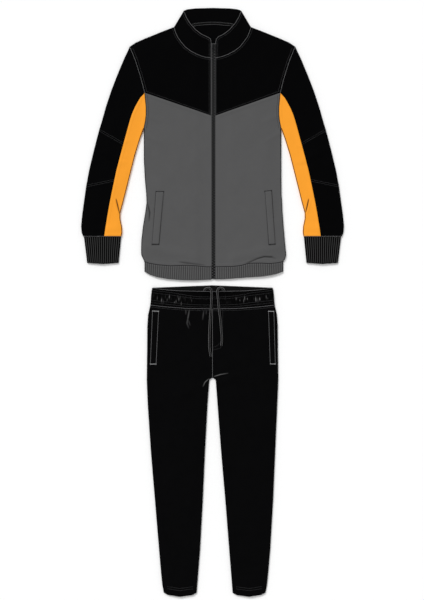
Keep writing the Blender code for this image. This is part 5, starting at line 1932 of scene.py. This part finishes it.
def seam_rows():
    """Flat seams: dense thread over each join that the jacket shows."""
    black, cuffs, body = [], [], []
    for side in (LEFT, RIGHT):
        neck = neck_seam(side)
        neck[-1, 0] += side
        black.append(on_front(neck, SEAM_THREAD_LIFT))
        last = YOKE_POINT_Y + 5 if side == LEFT else ZIP_TOP
        edge = np.concatenate([collar_edge(side), [(zip_edge(side), last)]])
        black.append(on_front(offset(resampled(edge)[2:], EDGE_THREAD_IN * side)))
        arm = cut(armhole(side), SHOULDER_Y - 1, YOKE_END[1] + 1)
        black.append(on_front(arm, SEAM_THREAD_LIFT))
        cuffs.append(on_front(resampled(cuff_seam(side), 1.5)[1:-1], SEAM_THREAD_LIFT))
        edge = offset(body_line(side)[:-1], FOLD_THREAD_IN * -side)
        body.append(on_front(edge, FOLD_THREAD_LIFT))
        inner = resampled(columns(SLEEVE, 3, side))[:-1]
        body.append(on_front(offset(inner, FOLD_THREAD_IN * side), FOLD_THREAD_LIFT))
        body.append(on_front(cut(armhole(side), YOKE_END[1] - 3, UNDERARM_Y), SEAM_THREAD_LIFT))
        hem = cut(np.array(HEM_SEAM), body_line(side)[-2][0], zip_edge(side), axis=0)
        body.append(on_front(hem, SEAM_THREAD_LIFT))
    top = np.array([(zip_edge(side), ZIP_TOP - 0.6) for side in (LEFT, RIGHT)])
    black.append(level_row(top, TAPE_Z[1] + 0.3))
    stitched("flat_seams", black, "seam_thread", "jacket_black", *FLAT_SEAM, FLAT_THREAD)
    stitched("cuff_seams", cuffs, "seam_thread", "cuff_rib", *FLAT_SEAM, 0.9)
    stitched("body_seams", body, "dark_thread", "jacket_grey", *FLAT_SEAM, 2.5)


def jacket_stitches():
    """Topstitching beside the neck, collar edge, armholes, V seam, elbow seams and zip."""
    rows, body_rows = [], []
    for side in (LEFT, RIGHT):
        rows.append(on_front(offset(neck_seam(side), NECK_ROW * side)))
        edge = np.concatenate([collar_edge(side), [(zip_edge(side), NECK_SEAM_Y)]])
        rows.append(on_front(offset(resampled(edge)[3:], EDGE_ROW * side)))
        arm = offset(side_line(ARMHOLE, side), -EDGE_ROW * side)
        rows.append(on_front(cut(arm, SHOULDER_Y - 6, YOKE_END[1] + 4)))
        body_rows.append(on_front(cut(arm, YOKE_END[1] - 7, UNDERARM_Y + 4)))
        above = offset(yoke_seam(side), -YOKE_ROW * side)
        rows.append(on_front([above[0] - (5 * side, 0), above[1]]))
        for ends in (UPPER_ELBOW, LOWER_ELBOW):
            for distance in (-ELBOW_ROW, ELBOW_ROW):
                row = resampled(offset(elbow_seam(side, ends), distance))
                rows.append(on_front(row[1:-1]))
    for x, start in ((zip_edge(LEFT) - EDGE_ROW, NECK_SEAM_Y), (zip_edge(RIGHT) + 2.2, ZIP_TOP)):
        rows.append(on_front([(x, start), (x, YOKE_POINT_Y + 9)]))
    stitched("jacket_stitches", rows, "dim_thread", "jacket_black")
    stitched("body_stitches", body_rows, "dark_thread", "jacket_grey")
    drops = NECK_TAPE_DROP + 1.0, NECK_TAPE_DROP + NECK_TAPE_WIDTH - 1.4
    level = WALL + SEAM_GAP + COLLAR_WALL + 0.05
    tape_rows = [level_row(back_neck_line(drop), level) for drop in drops]
    stitched("neck_tape_stitches", tape_rows, "seam_thread", "neck_tape", 2.6, 2.4, 0.6)


def waist_rows(x, which):
    """How far down the waistband a row lies: it sags towards the middle."""
    at_side, at_middle = WAIST_ROWS[which]
    return at_side + (at_middle - at_side) * (1 - smooth((np.abs(x) - 30) / 100))


def waist_line(share_at):
    """A line along the front of the waistband, this share of the way down it at each x."""
    top, bottom = whole_line(WAIST_EDGE), whole_line(WAIST_SEAM)
    at = np.linspace(0.01, 0.99, 150)
    upper, lower = along_line(top, at), along_line(bottom, at)
    share = share_at(upper[:, 0])[:, None]
    return (1 - share) * upper + share * lower


def on_waistband(share_at, lift):
    points, normals = surface(resampled(waist_line(share_at))[None], FRONT)
    rise = cord_lift(points[0, :, :2]) + lift
    return points[0] + np.array((0, 0, 1)) * rise[:, None], normals[0]


def trouser_stitches():
    rows = [on_waistband(lambda x, k=k: waist_rows(x, k), 0.35) for k in range(4)]
    stitched("waistband_stitches", rows, "dim_thread", "waistband_black")
    edge = on_waistband(lambda x: np.full(len(x), 0.02), STITCH_LIFT)
    seam = whole_line(WAIST_SEAM)
    front = np.array([(0.2, WAIST_SEAM[-1][1] - 2), (0.2, -208.0)])
    bright = [edge, on_front(seam, SEAM_THREAD_LIFT), on_front(front, SEAM_THREAD_LIFT)]
    stitched("trouser_flat_seams", bright, "seam_thread", "trouser_black", *FLAT_SEAM, FLAT_THREAD)
    rows = [on_front(row) for row in (seam - (0, WAIST_ROW), *FLY_ROWS)]
    for side in (LEFT, RIGHT):
        hem = leg_edge(side)
        rows += [on_front(hem[1:-1] + (0, rise)) for rise in LEG_HEM_ROWS]
    stitched("trouser_stitches", rows, "dim_thread", "trouser_black")


def build_pockets():
    """Welts, the rows round them and the bar tacks at their ends."""
    kinds = (
        ("jacket", "front_body", JACKET_WELTS, "grey", "jacket_grey",
         "dark_thread", 1.3, "dark_thread"),
        ("trouser", "front", TROUSER_WELTS, "trouser", "trouser_black",
         "seam_thread", 1.1, "tack_thread"),
    )
    for kind, carrier, table, finish, slot, thread, width, tack_thread in kinds:
        rows, tacks = [], []
        for corners, (_, word) in zip(table, SIDES):
            welt(f"{kind}_{word}", corners, f"{kind}_welt_{word}", finish, slot)
            rows += welt_rows(corners)
            tacks += bar_tacks(corners)
        stitched(f"{kind}_welt_stitches", rows, thread, slot, *FLAT_SEAM, width)
        stitched(f"{kind}_bar_tacks", tacks, tack_thread, slot, 1.1, 1.5, 0.7)


def build_jacket():
    back_yoke()
    back_body()
    for side, word in SIDES:
        front_yoke(side, word)
        front_body(side, word)
        black_sleeve(side, word)
        coloured_panel(side, word)
        cuff(side, word)
    hem_band()
    collar()
    neck_tape()


def build_zip():
    for side, word in SIDES:
        zip_tape(side, word)
        zip_teeth(side, word)
    rounded("zip_slider_cast", "zip_slider", "zip_metal", "suit", 0.35)
    rounded("zip_pull_cast", "zip_pull", "zip_metal", "pull_tab", 0.18)


def build_trousers():
    for side, word in SIDES:
        trouser_panel(side, FRONT, word, "front")
        trouser_panel(side, BACK, word, "back")
    waistband()
    drawcord("left", LEFT_CORD)
    drawcord("right", RIGHT_CORD)


# Setting

PHOTO_HEIGHT = 600
MM_A_PIXEL = 2.8
PHOTO_CENTRE = (-1.4, 7.0)
CAMERA_HEIGHT = 4000.0


def build_camera():
    lens = bpy.data.cameras.new("Camera")
    lens.sensor_fit = "AUTO"
    lens.sensor_width = 36.0
    lens.lens = 36.0 * (CAMERA_HEIGHT - FOLD_RADIUS * 2) / (PHOTO_HEIGHT * MM_A_PIXEL)
    camera = put("Camera", lens)
    camera.location = (PHOTO_CENTRE[0] * MM, PHOTO_CENTRE[1] * MM, CAMERA_HEIGHT * MM)
    bpy.context.scene.camera = camera


def build_floor():
    finish, _, shader = blank("white floor", (0.95, 0.95, 0.95), 0.9)
    set_inputs(shader, Specular_IOR_Level=0.1)
    size = 30.0
    mesh = bpy.data.meshes.new("floor")
    corners = [(-size, -size, 0), (size, -size, 0), (size, size, 0), (-size, size, 0)]
    mesh.from_pydata(corners, [], [(0, 1, 2, 3)])
    mesh.materials.append(finish)
    floor = put("floor", mesh)
    floor.location.z = -0.0002


def build_light():
    world = bpy.data.worlds.new("Studio")
    bpy.context.scene.world = world
    world.use_nodes = True
    set_inputs(world.node_tree.nodes["Background"], Color=(1, 1, 1, 1), Strength=0.66)
    key = bpy.data.lights.new("Key", "SUN")
    key.energy = 1.85
    key.angle = math.radians(24)
    lamp = put("Key", key)
    lamp.rotation_euler = (math.radians(-38), math.radians(-30), 0)
    bpy.context.scene.view_settings.view_transform = "Standard"


build_camera()
build_light()
build_floor()
build_jacket()
build_zip()
build_trousers()
build_pockets()
seam_rows()
jacket_stitches()
trouser_stitches()
